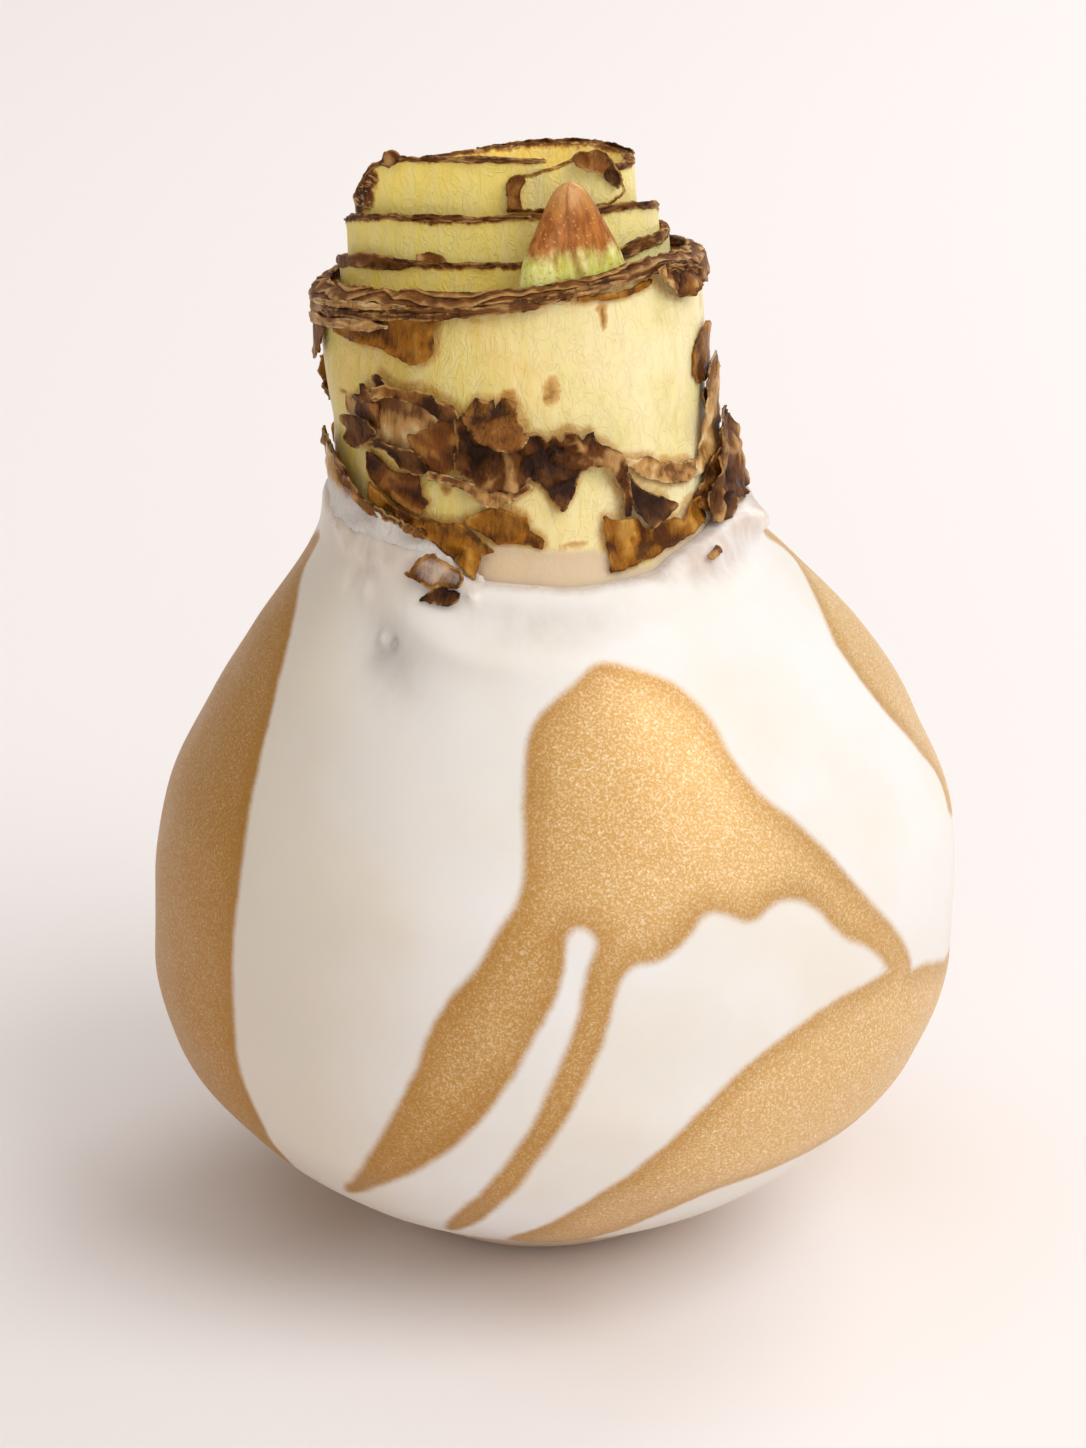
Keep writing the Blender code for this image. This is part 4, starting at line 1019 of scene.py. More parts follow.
def flakeGrid(outline, spacing, ragged, seed):
    # cells of an even grid inside a ragged outline, their border moved onto it
    outline = rounded(outline, 0.18, 0)
    side = np.roll(outline, -1, axis=0) - np.roll(outline, 1, axis=0)
    side = np.stack([side[:, 1], -side[:, 0]], -1)
    side /= np.maximum(np.linalg.norm(side, axis=1, keepdims=True), 1e-6)
    uneven = rough(outline, 1.5, seed, 2) * ragged + rough(outline, 0.6, seed + 2, 2) * 0.6 * ragged
    outline = outline + side * uneven[:, None]
    low, high = outline.min(axis=0) - spacing, outline.max(axis=0) + spacing
    columns, rows = [int(math.ceil(v)) + 1 for v in (high - low) / spacing]
    i, j = np.meshgrid(np.arange(columns), np.arange(rows), indexing="ij")
    centres = low + (np.stack([i, j], -1) + 0.5) * spacing
    keep = within(centres.reshape(-1, 2), outline).reshape(columns, rows)
    for _ in range(3):
        wide = np.pad(keep, 1)
        keep &= (wide[:-2, 1:-1] | wide[2:, 1:-1]) & (wide[1:-1, :-2] | wide[1:-1, 2:])
        # no two cells that touch only at a corner
        keep[:-1, :-1] &= ~(keep[:-1, :-1] & keep[1:, 1:] & ~keep[1:, :-1] & ~keep[:-1, 1:])
        keep[1:, :-1] &= ~(~keep[:-1, :-1] & ~keep[1:, 1:] & keep[1:, :-1] & keep[:-1, 1:])
    number = {}
    quads = [[number.setdefault((a + p, b + q), len(number)) for p, q in ((0, 0), (1, 0), (1, 1), (0, 1))]
             for a, b in np.argwhere(keep)]
    points = low + np.array(list(number), float) * spacing
    sides = dict.fromkeys(pair for quad in quads for pair in zip(quad, quad[1:] + quad[:1]))
    border = [(a, b) for a, b in sides if (b, a) not in sides]
    tree = treeOf(outline)
    for k in {a for a, _ in border}:
        spot, _, gap = tree.find((*points[k], 0))
        if gap < 0.75 * spacing:
            points[k] = spot[:2]
    edge = np.array([tree.find((x, y, 0))[2] for x, y in points])
    return points, quads, border, edge


def makeFlake(name, corners, flake, over=fleshRadius, lift=None, waxed=None, put=None, **usual):
    # a thin crumpled skin over this outline of azimuths and heights; off is how far it stands off, one value
    # or stations along the azimuth, and curl how much further its edge does
    flake = {**usualSkin, **usual, **flake}
    kind, off = flake["kind"], flake["off"]
    seed = sum(ord(c) for c in name) * 0.37
    corners = np.array(corners, float)
    degree = math.radians(1) * float(np.mean(over(corners[:, 0], corners[:, 1])))
    points, quads, border, edge = flakeGrid(corners * (degree, 1), flake["spacing"], flake["ragged"], seed)
    azimuth, height = points[:, 0] / degree, points[:, 1]
    fold = creased(points, flake["size"], seed)
    rest = curve(off, azimuth) if isinstance(off, list) else off
    uneven = 0.6 + 0.9 * rough(points, 2.2, seed + 3, 2)
    high = rest + flake["curl"] * np.exp(-edge / papers["curlReach"]) * uneven
    high = high + flake["crumple"] * (2.0 * fold - 0.6)
    if lift is not None:
        high = high + lift(azimuth, height)
    high = np.maximum(high, papers["thick"] + papers["clear"])
    put = put or (lambda turn, level, stand: place(turn, level, over(turn, level) + stand))
    outer, inner = put(azimuth, height, high), put(azimuth, height, high - papers["thick"])
    far = len(points)
    faces = [tuple(q) for q in quads] + [tuple(far + k for k in q[::-1]) for q in quads]
    faces += [(b, a, far + a, far + b) for a, b in border]
    cover = waxed(azimuth, height) if waxed else flake["coated"] * ramp(edge, 0.15, 0.7)
    marks = {"edge": np.tile(edge, 2), "fold": np.tile(fold, 2), "waxed": np.tile(cover, 2)}
    if kind == "leaf":
        marks = {"dry": np.tile(ramp(edge, papers["leafRim"], 0.1), 2)}
    replaced = [flake["node"]] if flake["node"] else ()
    makeMesh(name, np.concatenate([outer, inner]), faces, flake["slot"] or slotOf[kind], paperPaints[kind],
             marks, replaced, 0)


def nearest(pixels, wide, deep):
    # azimuth and height on a scale's oval wall that show nearest to these pixels
    turn, level = np.meshgrid(np.arange(180, 360, 0.5), np.arange(119, 139, 0.1), indexing="ij")
    spots = scaleWall(turn, level, wide, deep) - (0, 0, view["aimHeight"]) + sightAway * view["distance"]
    reach = spots @ sightAway
    x = view["aimPixel"][0] + view["focalPixels"] * spots[..., 0] / reach
    y = view["aimPixel"][1] - view["focalPixels"] * (spots @ sightUp) / reach
    found = [np.argmin((x - a) ** 2 + (y - b) ** 2) for a, b in pixels]
    return np.stack([turn.ravel()[found], level.ravel()[found]], -1)


def strip(stations):
    # outline of a strip given as azimuth, lower edge and upper edge
    table = np.array(stations, float)
    at = np.linspace(table[0, 0], table[-1, 0], max(6, int(abs(table[-1, 0] - table[0, 0]) / 2.5)))
    low, high = curve(table[:, (0, 1)], at), curve(table[:, (0, 2)], at)
    return np.concatenate([np.stack([at, low], -1), np.stack([at, high], -1)[::-1]])


# outlines read off the photograph, in its pixels, and how each skin lies
flakesSeen = {
    "outerScaleLeft": {"kind": "pale", "node": "outer_scale_left", "slot": "old_scale", "off": 0.5,
                       "curl": 0.25, "crumple": 0.08, "line": [
        (343, 396), (356, 401), (372, 400), (388, 391), (402, 391), (417, 397), (433, 406), (448, 416),
        (452, 430), (440, 446), (420, 452), (402, 450), (384, 444), (366, 436), (352, 424), (344, 410)]},
    "scaleEdgeLeft": {"kind": "middle", "off": 1.0, "curl": 0.3, "crumple": 0.5, "line": [
        (372, 386), (388, 386), (402, 389), (415, 388), (429, 393), (441, 401), (453, 406), (459, 418),
        (457, 426), (448, 422), (433, 415), (417, 405), (402, 399), (388, 396), (376, 397)]},
    "pointedFlake": {"kind": "middle", "off": 1.0, "curl": 0.3, "crumple": 0.25, "line": [
        (372, 373), (381, 377), (387, 388), (384, 398), (373, 402), (360, 403), (349, 397), (352, 394),
        (361, 394), (360, 383), (364, 385), (370, 393), (376, 390)]},
    "darkPatchLeft": {"kind": "russet", "off": 0.75, "curl": 0.1, "crumple": 0.15, "line": [
        (356, 400), (378, 402), (378, 430), (366, 423), (352, 414)]},
    "curledFlakeLeft": {"kind": "dark", "off": 1.2, "curl": 0.7, "crumple": 0.4, "line": [
        (347, 413), (360, 415), (371, 424), (378, 432), (372, 440), (365, 447), (354, 447), (349, 438),
        (348, 428)]},
    "crumpledStripLeft": {"kind": "dark", "off": 1.15, "curl": 0.4, "crumple": 0.7, "line": [
        (376, 437), (388, 439), (402, 447), (415, 448), (424, 458), (431, 470), (421, 474), (410, 470),
        (402, 466), (390, 454), (381, 449), (370, 444)]},
    "russetLowerLeft": {"kind": "russet", "off": 0.45, "curl": 0.1, "crumple": 0.12, "line": [
        (362, 452), (375, 458), (388, 472), (402, 476), (415, 472), (417, 484), (419, 498), (427, 504),
        (418, 516), (406, 512), (392, 504), (381, 493), (368, 481), (362, 468)]},
    "russetMiddle": {"kind": "russet", "off": 0.8, "curl": 0.25, "crumple": 0.3, "line": [
        (409, 434), (417, 433), (429, 427), (437, 421), (448, 418), (460, 420), (460, 442), (456, 468),
        (445, 474), (430, 471), (421, 460), (414, 450), (409, 441)]},
    "bandFront": {"kind": "dark", "node": "tunic_band_front", "off": 0.95, "curl": 0.35, "crumple": 1.15,
                  "size": 2.7, "line": [
        (456, 416), (463, 414), (471, 427), (485, 441), (498, 446), (519, 445), (529, 436), (538, 436),
        (548, 440), (553, 436), (560, 440), (566, 431), (574, 432), (582, 438), (594, 432), (597, 442),
        (604, 444), (617, 450), (625, 464), (629, 492), (633, 516), (626, 517), (622, 495), (616, 479),
        (606, 466), (590, 464), (582, 474), (578, 486), (570, 502), (562, 512), (554, 504), (546, 494),
        (537, 484), (529, 481), (521, 487), (508, 492), (492, 492), (479, 486), (462, 476), (456, 468)]},
    "tanStrip": {"kind": "pale", "off": 1.25, "curl": 0.4, "crumple": 0.7, "size": 2.0, "line": [
        (430, 471), (444, 475), (463, 479), (475, 483), (492, 490), (508, 491), (521, 485), (530, 481),
        (534, 487), (521, 495), (505, 503), (498, 507), (488, 506), (473, 498), (463, 488), (444, 482),
        (431, 478)]},
    "curlFront": {"kind": "middle", "node": "tunic_curl_front", "off": 2.0, "curl": 0.5, "crumple": 0.5,
                  "size": 3.4, "line": [
        (463, 416), (475, 399), (485, 402), (494, 400), (495, 409), (503, 397), (517, 403), (519, 419),
        (529, 430), (525, 440), (517, 445), (498, 444), (485, 439), (477, 430)]},
    "flapLeft": {"kind": "amber", "node": "tunic_flap_left", "slot": "dry_skin", "off": 0.8, "curl": 0.4,
                 "crumple": 0.3, "line": [
        (325, 318), (342, 322), (362, 324), (385, 322), (396, 317), (418, 316), (436, 315), (434, 332),
        (432, 352), (427, 362), (412, 364), (396, 359), (383, 349), (369, 345), (350, 341), (334, 331)]},
    "amberLeft": {"kind": "amber", "node": "tunic_flake_left", "off": 0.5, "curl": 0.15, "crumple": 0.15,
                  "line": [
        (462, 523), (469, 518), (480, 513), (492, 509), (508, 512), (527, 519), (530, 532), (545, 542),
        (543, 551), (530, 547), (508, 545), (498, 547), (488, 540), (477, 533)]},
    "amberBandLeft": {"kind": "amber", "off": 1.0, "curl": 0.25, "crumple": 0.35, "line": [
        (371, 482), (383, 494), (394, 505), (408, 515), (425, 519), (440, 524), (458, 522), (468, 529),
        (480, 540), (494, 551), (482, 556), (478, 569), (476, 580), (467, 571), (458, 563), (444, 553),
        (433, 540), (417, 529), (402, 520), (383, 508), (369, 497)]},
    "amberRight": {"kind": "amber", "node": "tunic_flake_right", "off": 0.55, "curl": 0.25, "crumple": 0.4,
                   "line": [
        (605, 517), (614, 520), (628, 518), (640, 520), (648, 530), (664, 523), (678, 517), (684, 519),
        (692, 503), (702, 496), (706, 503), (710, 517), (698, 529), (678, 545), (660, 555), (640, 565),
        (612, 575), (609, 555), (606, 533)]},
    "twistRight": {"kind": "dark", "node": "tunic_twist_right", "off": 1.2, "curl": 0.45, "crumple": 0.4,
                   "line": [
        (626, 468), (634, 480), (640, 488), (656, 494), (676, 502), (664, 515), (648, 527), (640, 518),
        (633, 506), (629, 490)]},
    "fringeRight": {"kind": "pale", "off": 0.55, "curl": 0.15, "crumple": 0.3, "size": 1.8, "line": [
        (624, 459), (640, 460), (652, 457), (662, 463), (672, 462), (684, 463), (696, 459), (700, 470),
        (694, 480), (682, 483), (668, 483), (650, 479), (634, 471)]},
    "crumpleRight": {"kind": "middle", "off": 1.3, "curl": 0.5, "crumple": 0.8, "size": 2.0, "line": [
        (650, 268), (662, 262), (680, 263), (698, 266), (700, 274), (694, 284), (690, 294), (680, 298),
        (668, 290), (658, 280)]},
    "lineRight": {"kind": "amber", "off": 0.45, "curl": 0.05, "crumple": 0.1, "line": [
        (566, 299), (580, 298), (600, 296), (625, 293), (645, 285), (655, 278), (657, 283), (648, 290),
        (627, 298), (600, 301), (580, 303), (566, 304)]},
}
# the same for skins that lie on the wax
flakesOnWax = {
    "chipUpper": {"kind": "middle", "node": "tunic_chip_upper", "off": 0.45, "curl": 0.35, "crumple": 0.2,
                  "coated": 0.4, "line": [
        (405, 573), (413, 567), (423, 555), (436, 551), (448, 559), (463, 569), (466, 578), (459, 588),
        (448, 584), (433, 585), (417, 578)]},
    "chipLower": {"kind": "dark", "node": "tunic_chip_lower", "off": 0.5, "curl": 0.35, "crumple": 0.25,
                  "line": [
        (419, 600), (433, 590), (445, 581), (450, 588), (463, 592), (461, 599), (452, 605), (438, 603)]},
    "chipRight": {"kind": "dark", "off": 0.4, "curl": 0.3, "crumple": 0.2, "line": [
        (701, 556), (708, 549), (714, 545), (719, 551), (713, 554), (706, 558)]},
}
# skins seen edge-on or hidden in the photograph, as azimuth, lower edge and upper edge
flakesAround = {
    "tagLeft": {"kind": "middle", "node": "tunic_tag_left", "off": 1.0, "curl": 0.3, "crumple": 0.3,
                "stations": [
        (183, 114.6, 117.2), (186, 113.2, 117.6), (190, 112.7, 117.8), (194, 113.9, 117.8),
        (198, 115.4, 118.0)]},
    "skirtLeft": {"kind": "pale", "node": "tunic_skirt_left", "curl": 0.1, "crumple": 0.3,
                  "off": [(173, 0.7), (186, 1.0), (204, 1.45), (238, 1.2), (256, 0.45)], "waxed": True,
                  "stations": [
        (173, 96.2, 97.0), (178, 95.4, 99.8), (183, 95.4, 102.2), (190, 95.4, 103.4), (198, 95.4, 103.0),
        (208, 95.2, 102.2), (214, 95.2, 99.8), (223, 95.2, 98.4), (234, 95.0, 97.6), (242, 94.4, 96.6),
        (249, 93.2, 95.0), (256, 92.2, 93.0)]},
    "skirtEdgeLeft": {"kind": "middle", "off": 1.5, "curl": 0.3, "crumple": 0.5, "stations": [
        (186, 102.6, 104.2), (198, 102.2, 103.8), (208, 101.0, 102.8), (214, 99.2, 101.0), (222, 97.9, 99.2),
        (232, 97.4, 98.3), (240, 96.6, 97.5)]},
    "stripRight": {"kind": "pale", "node": "tunic_strip_right", "curl": 0.25, "crumple": 0.25,
                   "off": [(330, 0.5), (338, 0.9), (348, 1.4), (362, 1.8)], "stations": [
        (330, 101.0, 102.2), (336, 101.4, 103.8), (341, 102.0, 107.2), (346, 102.6, 112.2),
        (352, 103.4, 113.4), (358, 104.6, 111.0), (363, 106.0, 108.6)]},
    "scaleRightInner": {"kind": "middle", "curl": 0.25, "crumple": 0.5, "ragged": 0.3,
                        "off": [(328, 0.6), (334, 1.1), (344, 1.9), (352, 2.2)], "stations": [
        (328, 97.2, 98.8), (333, 96.4, 100.4), (338, 96.0, 102.2), (343, 96.0, 103.2), (348, 96.2, 102.4),
        (353, 96.4, 100.0)]},
    "outerScaleRight": {"kind": "dark", "node": "outer_scale_right", "curl": 0.35, "crumple": 0.7,
                        "off": [(330, 1.5), (338, 2.0), (350, 2.6), (364, 2.6), (381, 1.8)],
                        "slot": "old_scale", "stations": [
        (330, 95.6, 97.6), (336, 95.2, 100.4), (342, 95.6, 103.6), (348, 95.8, 106.0), (354, 95.9, 106.6),
        (360, 95.8, 104.2), (366, 95.6, 101.6), (373, 95.2, 102.8), (381, 94.9, 98.8)]},
    "smallFlakeRight": {"kind": "middle", "off": [(344, 0.8), (352, 1.3), (360, 1.6)], "curl": 0.4,
                        "crumple": 0.5, "stations": [
        (344, 107.2, 108.8), (349, 106.6, 110.8), (354, 106.4, 111.8), (360, 107.4, 110.4)]},
    "edgeRight": {"kind": "amber", "off": 0.5, "curl": 0.15, "crumple": 0.25, "stations": [
        (337, 112.0, 114.6), (343, 110.6, 116.4), (350, 110.2, 117.2), (357, 111.4, 116.0),
        (363, 112.6, 114.6)]},
    "bandBack": {"kind": "dark", "node": "tunic_band_back", "off": 0.8, "curl": 0.4, "crumple": 0.9,
                 "ragged": 0.7, "stations": [
        (28, 101.0, 103.6), (40, 100.8, 106.4), (50, 98.6, 105.2), (58, 102.0, 108.8), (70, 102.8, 106.4),
        (76, 100.2, 105.0), (90, 101.6, 109.0), (100, 104.0, 107.6), (112, 100.6, 108.6),
        (122, 102.4, 105.8), (134, 104.2, 109.8), (146, 101.6, 108.6), (158, 104.6, 110.4),
        (172, 105.4, 107.6)]},
    "flakeBackLow": {"kind": "middle", "off": 1.5, "curl": 0.5, "crumple": 0.6, "ragged": 0.5, "stations": [
        (46, 102.4, 103.4), (54, 101.4, 106.6), (63, 99.8, 105.4), (70, 102.0, 103.0)]},
    "flakeBackTip": {"kind": "russet", "off": 1.5, "curl": 0.5, "crumple": 0.5, "ragged": 0.5, "stations": [
        (104, 103.4, 105.2), (113, 101.4, 107.8), (122, 98.6, 106.2), (128, 101.6, 103.4)]},
    "flakeBackHigh": {"kind": "pale", "off": 1.4, "curl": 0.4, "crumple": 0.5, "ragged": 0.5, "stations": [
        (138, 105.2, 107.0), (146, 104.4, 110.8), (154, 103.2, 109.2), (162, 105.8, 108.0)]},
    "skirtBack": {"kind": "amber", "node": "tunic_skirt_back", "off": 0.8, "curl": 0.35, "crumple": 0.4,
                  "ragged": 0.6, "stations": [
        (30, 94.9, 97.2), (42, 94.4, 99.0), (52, 94.0, 96.8), (64, 93.3, 98.2), (74, 93.0, 100.2),
        (84, 93.0, 97.0), (96, 93.7, 98.8), (108, 94.5, 96.8), (120, 95.1, 100.4), (134, 95.7, 98.8),
        (150, 96.1, 101.4), (158, 96.3, 99.6), (168, 96.6, 102.4)]},
    "flakeBack": {"kind": "middle", "node": "tunic_flake_back", "off": 1.0, "curl": 0.5, "crumple": 0.5,
                  "ragged": 0.5, "stations": [
        (94, 112.4, 113.6), (102, 110.7, 114.6), (111, 111.6, 113.9), (119, 110.6, 115.2),
        (127, 112.2, 114.4)]},
}
# skins on the cut scales, read off the photograph's pixels, and the scale that each lies on
flakesOnScales = {
    "frontPiece": {"kind": "leaf", "ring": "leafBaseWrap", "off": 0.45, "curl": 0.1, "crumple": 0.05,
                   "line": [
        (507, 180), (514, 175), (530, 174), (552, 166), (574, 155), (592, 152), (606, 158), (616, 172),
        (622, 190), (612, 202), (580, 208), (540, 210), (507, 210)]},
    "frontPieceEdge": {"kind": "russet", "ring": "leafBaseWrap", "off": 0.75, "curl": 0.1, "crumple": 0.15,
                       "line": [
        (505, 182), (511, 175), (524, 173), (526, 180), (520, 186), (519, 198), (522, 208), (508, 208)]},
    "curlTop": {"kind": "middle", "ring": "leafBaseWrap", "off": 0.9, "curl": 0.7, "crumple": 0.7, "line": [
        (566, 154), (574, 147), (588, 146), (600, 152), (608, 162), (616, 178), (611, 188), (602, 180),
        (592, 170), (578, 168), (569, 161)]},
    "curlLeft": {"kind": "dark", "ring": "leafBaseWrap", "off": 0.3, "curl": 0.4, "crumple": 0.3, "line": [
        (384, 163), (388, 151), (395, 148), (402, 153), (400, 163), (392, 167)]},
    "chipScale": {"kind": "middle", "ring": "leafBaseMiddle", "off": 0.6, "curl": 0.5, "crumple": 0.3,
                  "line": [
        (420, 252), (433, 250), (446, 254), (453, 260), (443, 264), (430, 263), (422, 258)]},
}
# torn dry skin along the scales' rims: which scale, kind, from and to which azimuth, and how far below
# and above the rim
rimSkins = {
    "rimOuterLeft": ("leafBaseOuter", "folded", 184, 240, 1.1, 0.3),
    "rimOuterFront": ("leafBaseOuter", "dark", 232, 272, 0.45, 0.1),
    "rimMiddleLeft": ("leafBaseMiddle", "dark", 184, 234, 0.55, 0.1),
    "rimMiddleFront": ("leafBaseMiddle", "folded", 222, 280, 0.6, 0.15),
    "rimMiddleRight": ("leafBaseMiddle", "folded", 300, 352, 0.6, 0.2),
    "rimOuterRight": ("leafBaseOuter", "folded", 306, 352, 1.2, 0.2),
    "rimWrapLeft": ("leafBaseWrap", "folded", 204, 244, 0.8, 0.05),
    "rimWrapFront": ("leafBaseWrap", "folded", 236, 288, 0.7, 0.0),
    "rimInnerRight": ("leafBaseInner", "dark", 290, 350, 0.7, 0.1),
    "rimOuterBack": ("leafBaseOuter", "folded", 30, 150, 0.9, 0.2),
    "rimMiddleBack": ("leafBaseMiddle", "folded", 20, 170, 0.7, 0.15),
    "rimInnerBack": ("leafBaseInner", "dark", 10, 100, 0.7, 0.1),
}
# loose strips over the collar: kind, from and to which azimuth, from and to which height off the rim, and
# how far off the flesh
collarSkins = {
    "collarStripOne": ("pale", 188, 234, -2.9, -1.7, 1.5),
    "collarStripTwo": ("dark", 204, 258, -1.5, -0.7, 1.55),
    "collarStripThree": ("folded", 232, 284, -1.2, -0.2, 1.5),
    "collarStripFour": ("dark", 262, 306, -0.5, 0.2, 1.45),
    "collarStripFive": ("pale", 192, 240, -0.6, 0.4, 1.4),
    "collarStripSix": ("folded", 290, 336, -0.3, 0.6, 1.35),
    "collarStripSeven": ("folded", 20, 104, -1.7, -0.7, 1.45),
    "collarStripEight": ("dark", 84, 172, -2.3, -1.2, 1.5),
}
# outlines of the skins on the flesh, which is browner round them
haloLines = []


def skinOver(azimuth, height):
    # the level at which skins on the flesh are read off the photograph
    return fleshRadius(azimuth, height) + 1.0


def makeFlakes():
    def waxedFoot(azimuth, height):
        return 1.1 * ramp(height - around(sections["waxRim"], azimuth), 5.0, 0.8)

    def intoWax(azimuth, height):
        # the skirt's foot runs out of the wax
        return 0.45 * ramp(height - around(sections["waxRim"], azimuth), 2.2, -0.6)

    def endsDown(first, last):
        return lambda azimuth, height: -0.4 * (ramp(azimuth, first + 5, first)
                                               + ramp(azimuth, last - 5, last))

    for name, flake in flakesSeen.items():
        corners = seen(flake["line"], skinOver)
        haloLines.append(rounded(corners * (neck["degree"], 1), 0.4, 1) / (neck["degree"], 1))
        makeFlake(name, corners, flake, lift=curlLift(corners) if name == "curlFront" else None)
    for name, flake in flakesOnWax.items():
        makeFlake(name, seen(flake["line"], waxRadius), flake, over=waxRadius, spacing=0.2)
    for name, flake in flakesAround.items():
        stations = flake["stations"]
        sides = {"waxed": waxedFoot, "lift": intoWax}
        if "waxed" not in flake:
            sides = {"lift": endsDown(stations[0][0], stations[-1][0])}
        makeFlake(name, strip(stations), flake, ragged=0.35, **sides)


def makeScaleSkins():
    for name, flake in flakesOnScales.items():
        shape = scales["rings"].get(flake["ring"], wrap)
        wide, deep = shape["wide"], shape["deep"]
        makeFlake(name, nearest(flake["line"], wide, deep), flake, ragged=0.15, spacing=0.2,
                  over=lambda azimuth, height: wide + 0 * azimuth,
                  put=lambda turn, level, stand: scaleWall(turn, level, wide + stand, deep + stand))
    for name, (ring, kind, first, last, below, above) in rimSkins.items():
        shape = scales["rings"].get(ring, wrap)
        wide, deep = shape["wide"], shape["deep"]
        at = np.linspace(first, last, int((last - first) * math.radians(wide) / 0.25))
        rim = (curve if shape is wrap else around)(shape["rim"], at)
        makeRibbon(name, at, rim - below, rim + above, kind, 0.34,
                   lambda turn, level, stand: scaleWall(turn, level, wide + stand, deep + stand))
    for name, (kind, first, last, low, high, stand) in collarSkins.items():
        at = np.linspace(first, last, int((last - first) * neck["degree"] / 0.25))
        rim = around(sections["neckRim"], at)
        makeRibbon(name, at, rim + low, rim + high, kind, stand,
                   lambda turn, level, off: place(turn, level, fleshRadius(turn, level) + off))


def makeRibbon(name, at, low, high, kind, stand, put):
    # a thin strip of dry skin along the azimuth, with torn edges that wander and ends that taper
    seed = sum(ord(c) for c in name) * 0.37
    spot = np.stack([at * neck["degree"], 0 * at], -1)
    ends = ramp(at, at[0], at[0] + 8) * ramp(at, at[-1], at[-1] - 8)
    wide = (high - low) * (0.25 + 0.75 * ends) * (1 + 0.45 * rough(spot, 5, seed + 1, 2))
    middle = (low + high) / 2 + 0.22 * rough(spot, 6, seed, 2)
    share = np.linspace(0, 1, papers["lanes"])[None]
    flat = np.stack(np.broadcast_arrays((at * neck["degree"])[:, None], share * 1.2), -1)
    torn = 0.12 * rough(flat, 0.9, seed + 3, 2) * np.abs(2 * share - 1)
    height = middle[:, None] + wide[:, None] * (share - 0.5) + torn
    fold = 0.5 * creased(flat * (0.5, 1.3), 1.8, seed) + 0.5 * folded(flat * (0.4, 1.6), 1.6, seed)
    off = stand + 0.28 * (fold - 0.4) + 0.2 * np.abs(2 * share - 1) ** 3 * rough(flat, 2.4, seed + 5, 2)
    off = np.maximum(off, papers["thick"] + 0.1)
    turn = np.broadcast_to(at[:, None], off.shape)
    outer, inner = put(turn, height, off), put(turn, height, off - papers["thick"])
    reach = np.minimum(share, 1 - share) * wide[:, None]
    marks = {"edge": [reach, reach], "fold": [fold, fold], "waxed": [0 * reach, 0 * reach]}
    shellPiece(name, outer, inner, slotOf[kind], paperPaints[kind], marks)


def curlLift(corners):
    # the curled flake stands furthest off below its middle, and its top lies on the flesh
    middle, low, top = corners[:, 0].mean(), corners[:, 1].min(), corners[:, 1].max()
    return lambda azimuth, height: (ramp(height, low + 5, low + 0.5) * ramp(np.abs(azimuth - middle), 14, 4)
                                    - 1.6 * ramp(height, top - 3.5, top - 0.5))


collar = {
    "from": 100, "to": 444, "columns": 640, "rows": 44, "ribbons": 2.6, "reach": 23,
    # its cross section from the lower edge over the rim: off the flesh, share of the drop, share of the
    # rise, puff
    "fold": [(1.0, 1.0, 0.0, 1.0), (1.1, 0.5, 0.1, 1.0), (1.0, 0.0, 0.3, 1.0), (0.4, 0.0, 0.9, 0.6),
             (-0.5, 0.0, 1.3, 0.2), (-1.3, 0.0, 1.5, 0.0)],
    "lower": [(0, -3.2), (30, -2.4), (60, -1.8), (120, -2.4), (180, -3.0), (215, -2.6), (240, -1.6),
              (270, -1.1), (300, -0.5), (320, -0.5), (338, -1.4)],
    "tall": [(0, 0.8), (40, 1.0), (200, 1.0), (235, 0.85), (258, 0.5), (290, 0.3), (325, 0.5), (345, 0.7)],
}


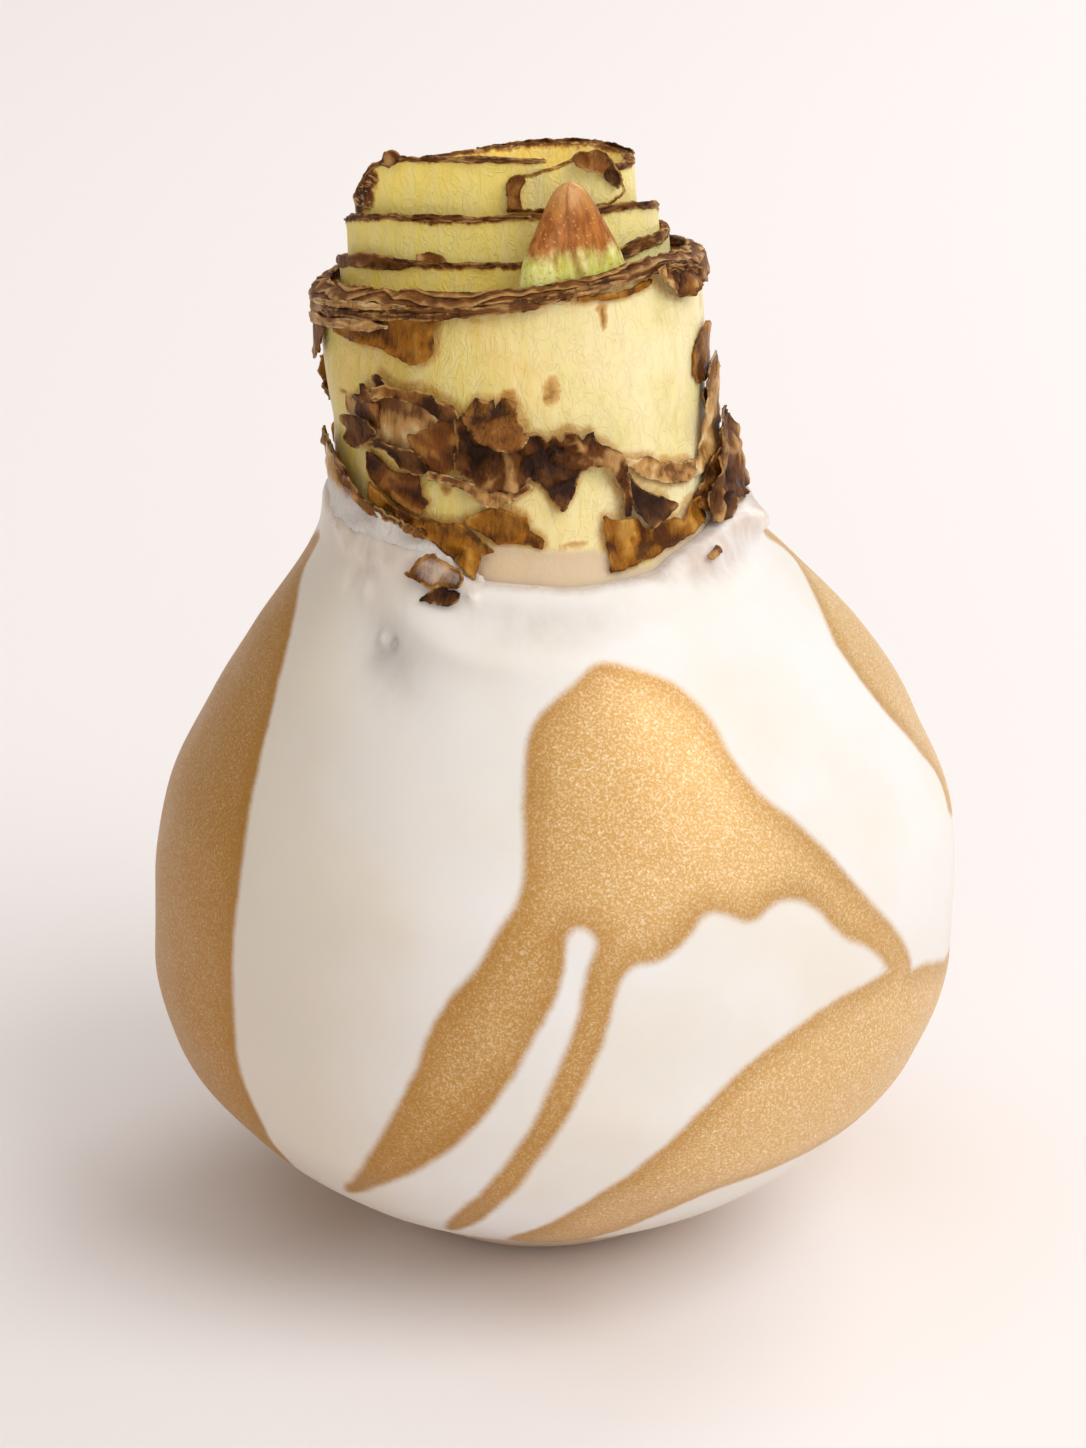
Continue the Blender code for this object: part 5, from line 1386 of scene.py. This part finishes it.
def makeCollar():
    turn = np.linspace(collar["from"], collar["to"], collar["columns"])
    rim = around(sections["neckRim"], turn)
    spot = outward(turn, collar["reach"])
    low = around(collar["lower"], turn) + 0.45 * rough(spot, 1.6, 31, 3)
    tall = around(collar["tall"], turn) + 0.12 * rough(spot, 3.0, 33, 2)
    wander = 1.5 * rough(spot, 11.0, 51, 2) + 0.4 * rough(spot, 3.0, 53, 2)
    fold = np.array(collar["fold"])
    shape = fold[:, (0, 2)] + fold[:, 1:2] * (0, -1)
    last = len(fold) - 1
    stops = np.linspace(0, last, collar["rows"])
    fine = np.stack([np.interp(stops, np.arange(len(fold)), fold[:, c]) for c in range(4)], -1)
    path = np.gradient(shape, axis=0)
    path /= np.linalg.norm(path, axis=1, keepdims=True)
    side = np.stack([np.interp(stops, np.arange(len(fold)), v) for v in (-path[:, 1], path[:, 0])], -1)
    base = fleshRadius(turn, rim)
    outer, inner, creases = [], [], []
    for k, (off, drop, rise, puff) in enumerate(fine):
        # ribbons that lie over each other, each standing out at its lower edge
        saw = np.mod(stops[k] / last * collar["ribbons"] + wander, 1)
        lip = ramp(saw, 0.0, 0.14) * (1 - 0.8 * saw)
        bite = folded(spot + (0, 0, stops[k]), 2.6, 47)
        push = 0.36 * lip * (0.5 + 0.8 * bite) + 0.16 * bite - 0.1
        height = rim + rise * tall + drop * low
        out = off + push * (0.3 + 0.7 * puff)
        up = push * (1 - puff)
        outer.append(place(turn, height + up, base + out))
        aside = papers["thick"] * side[k]
        inner.append(place(turn, height + up + aside[1], base + out + aside[0]))
        creases.append(lip * 0.8 + 0.3 * bite)
    creases = np.stack(creases, 1)
    reach = np.minimum(stops, last - stops)[None] * np.ones((len(turn), 1)) * 0.6 + 0.1
    marks = {"edge": [reach, reach], "fold": [creases, creases], "waxed": [0 * reach, 0 * reach]}
    shellPiece("collar", np.stack(outer, 1), np.stack(inner, 1), "dry_skin", paperPaints["folded"], marks,
               ("tunic_collar",))


print("dry skins")
makeFlakes()
makeScaleSkins()
print("collar")
makeCollar()
print("neck of the bulb")
makeFlesh()
print("cut leaf bases")
makeScales(leafPaint)
makeWrap(leafPaint)
print("bud")
makeBud()
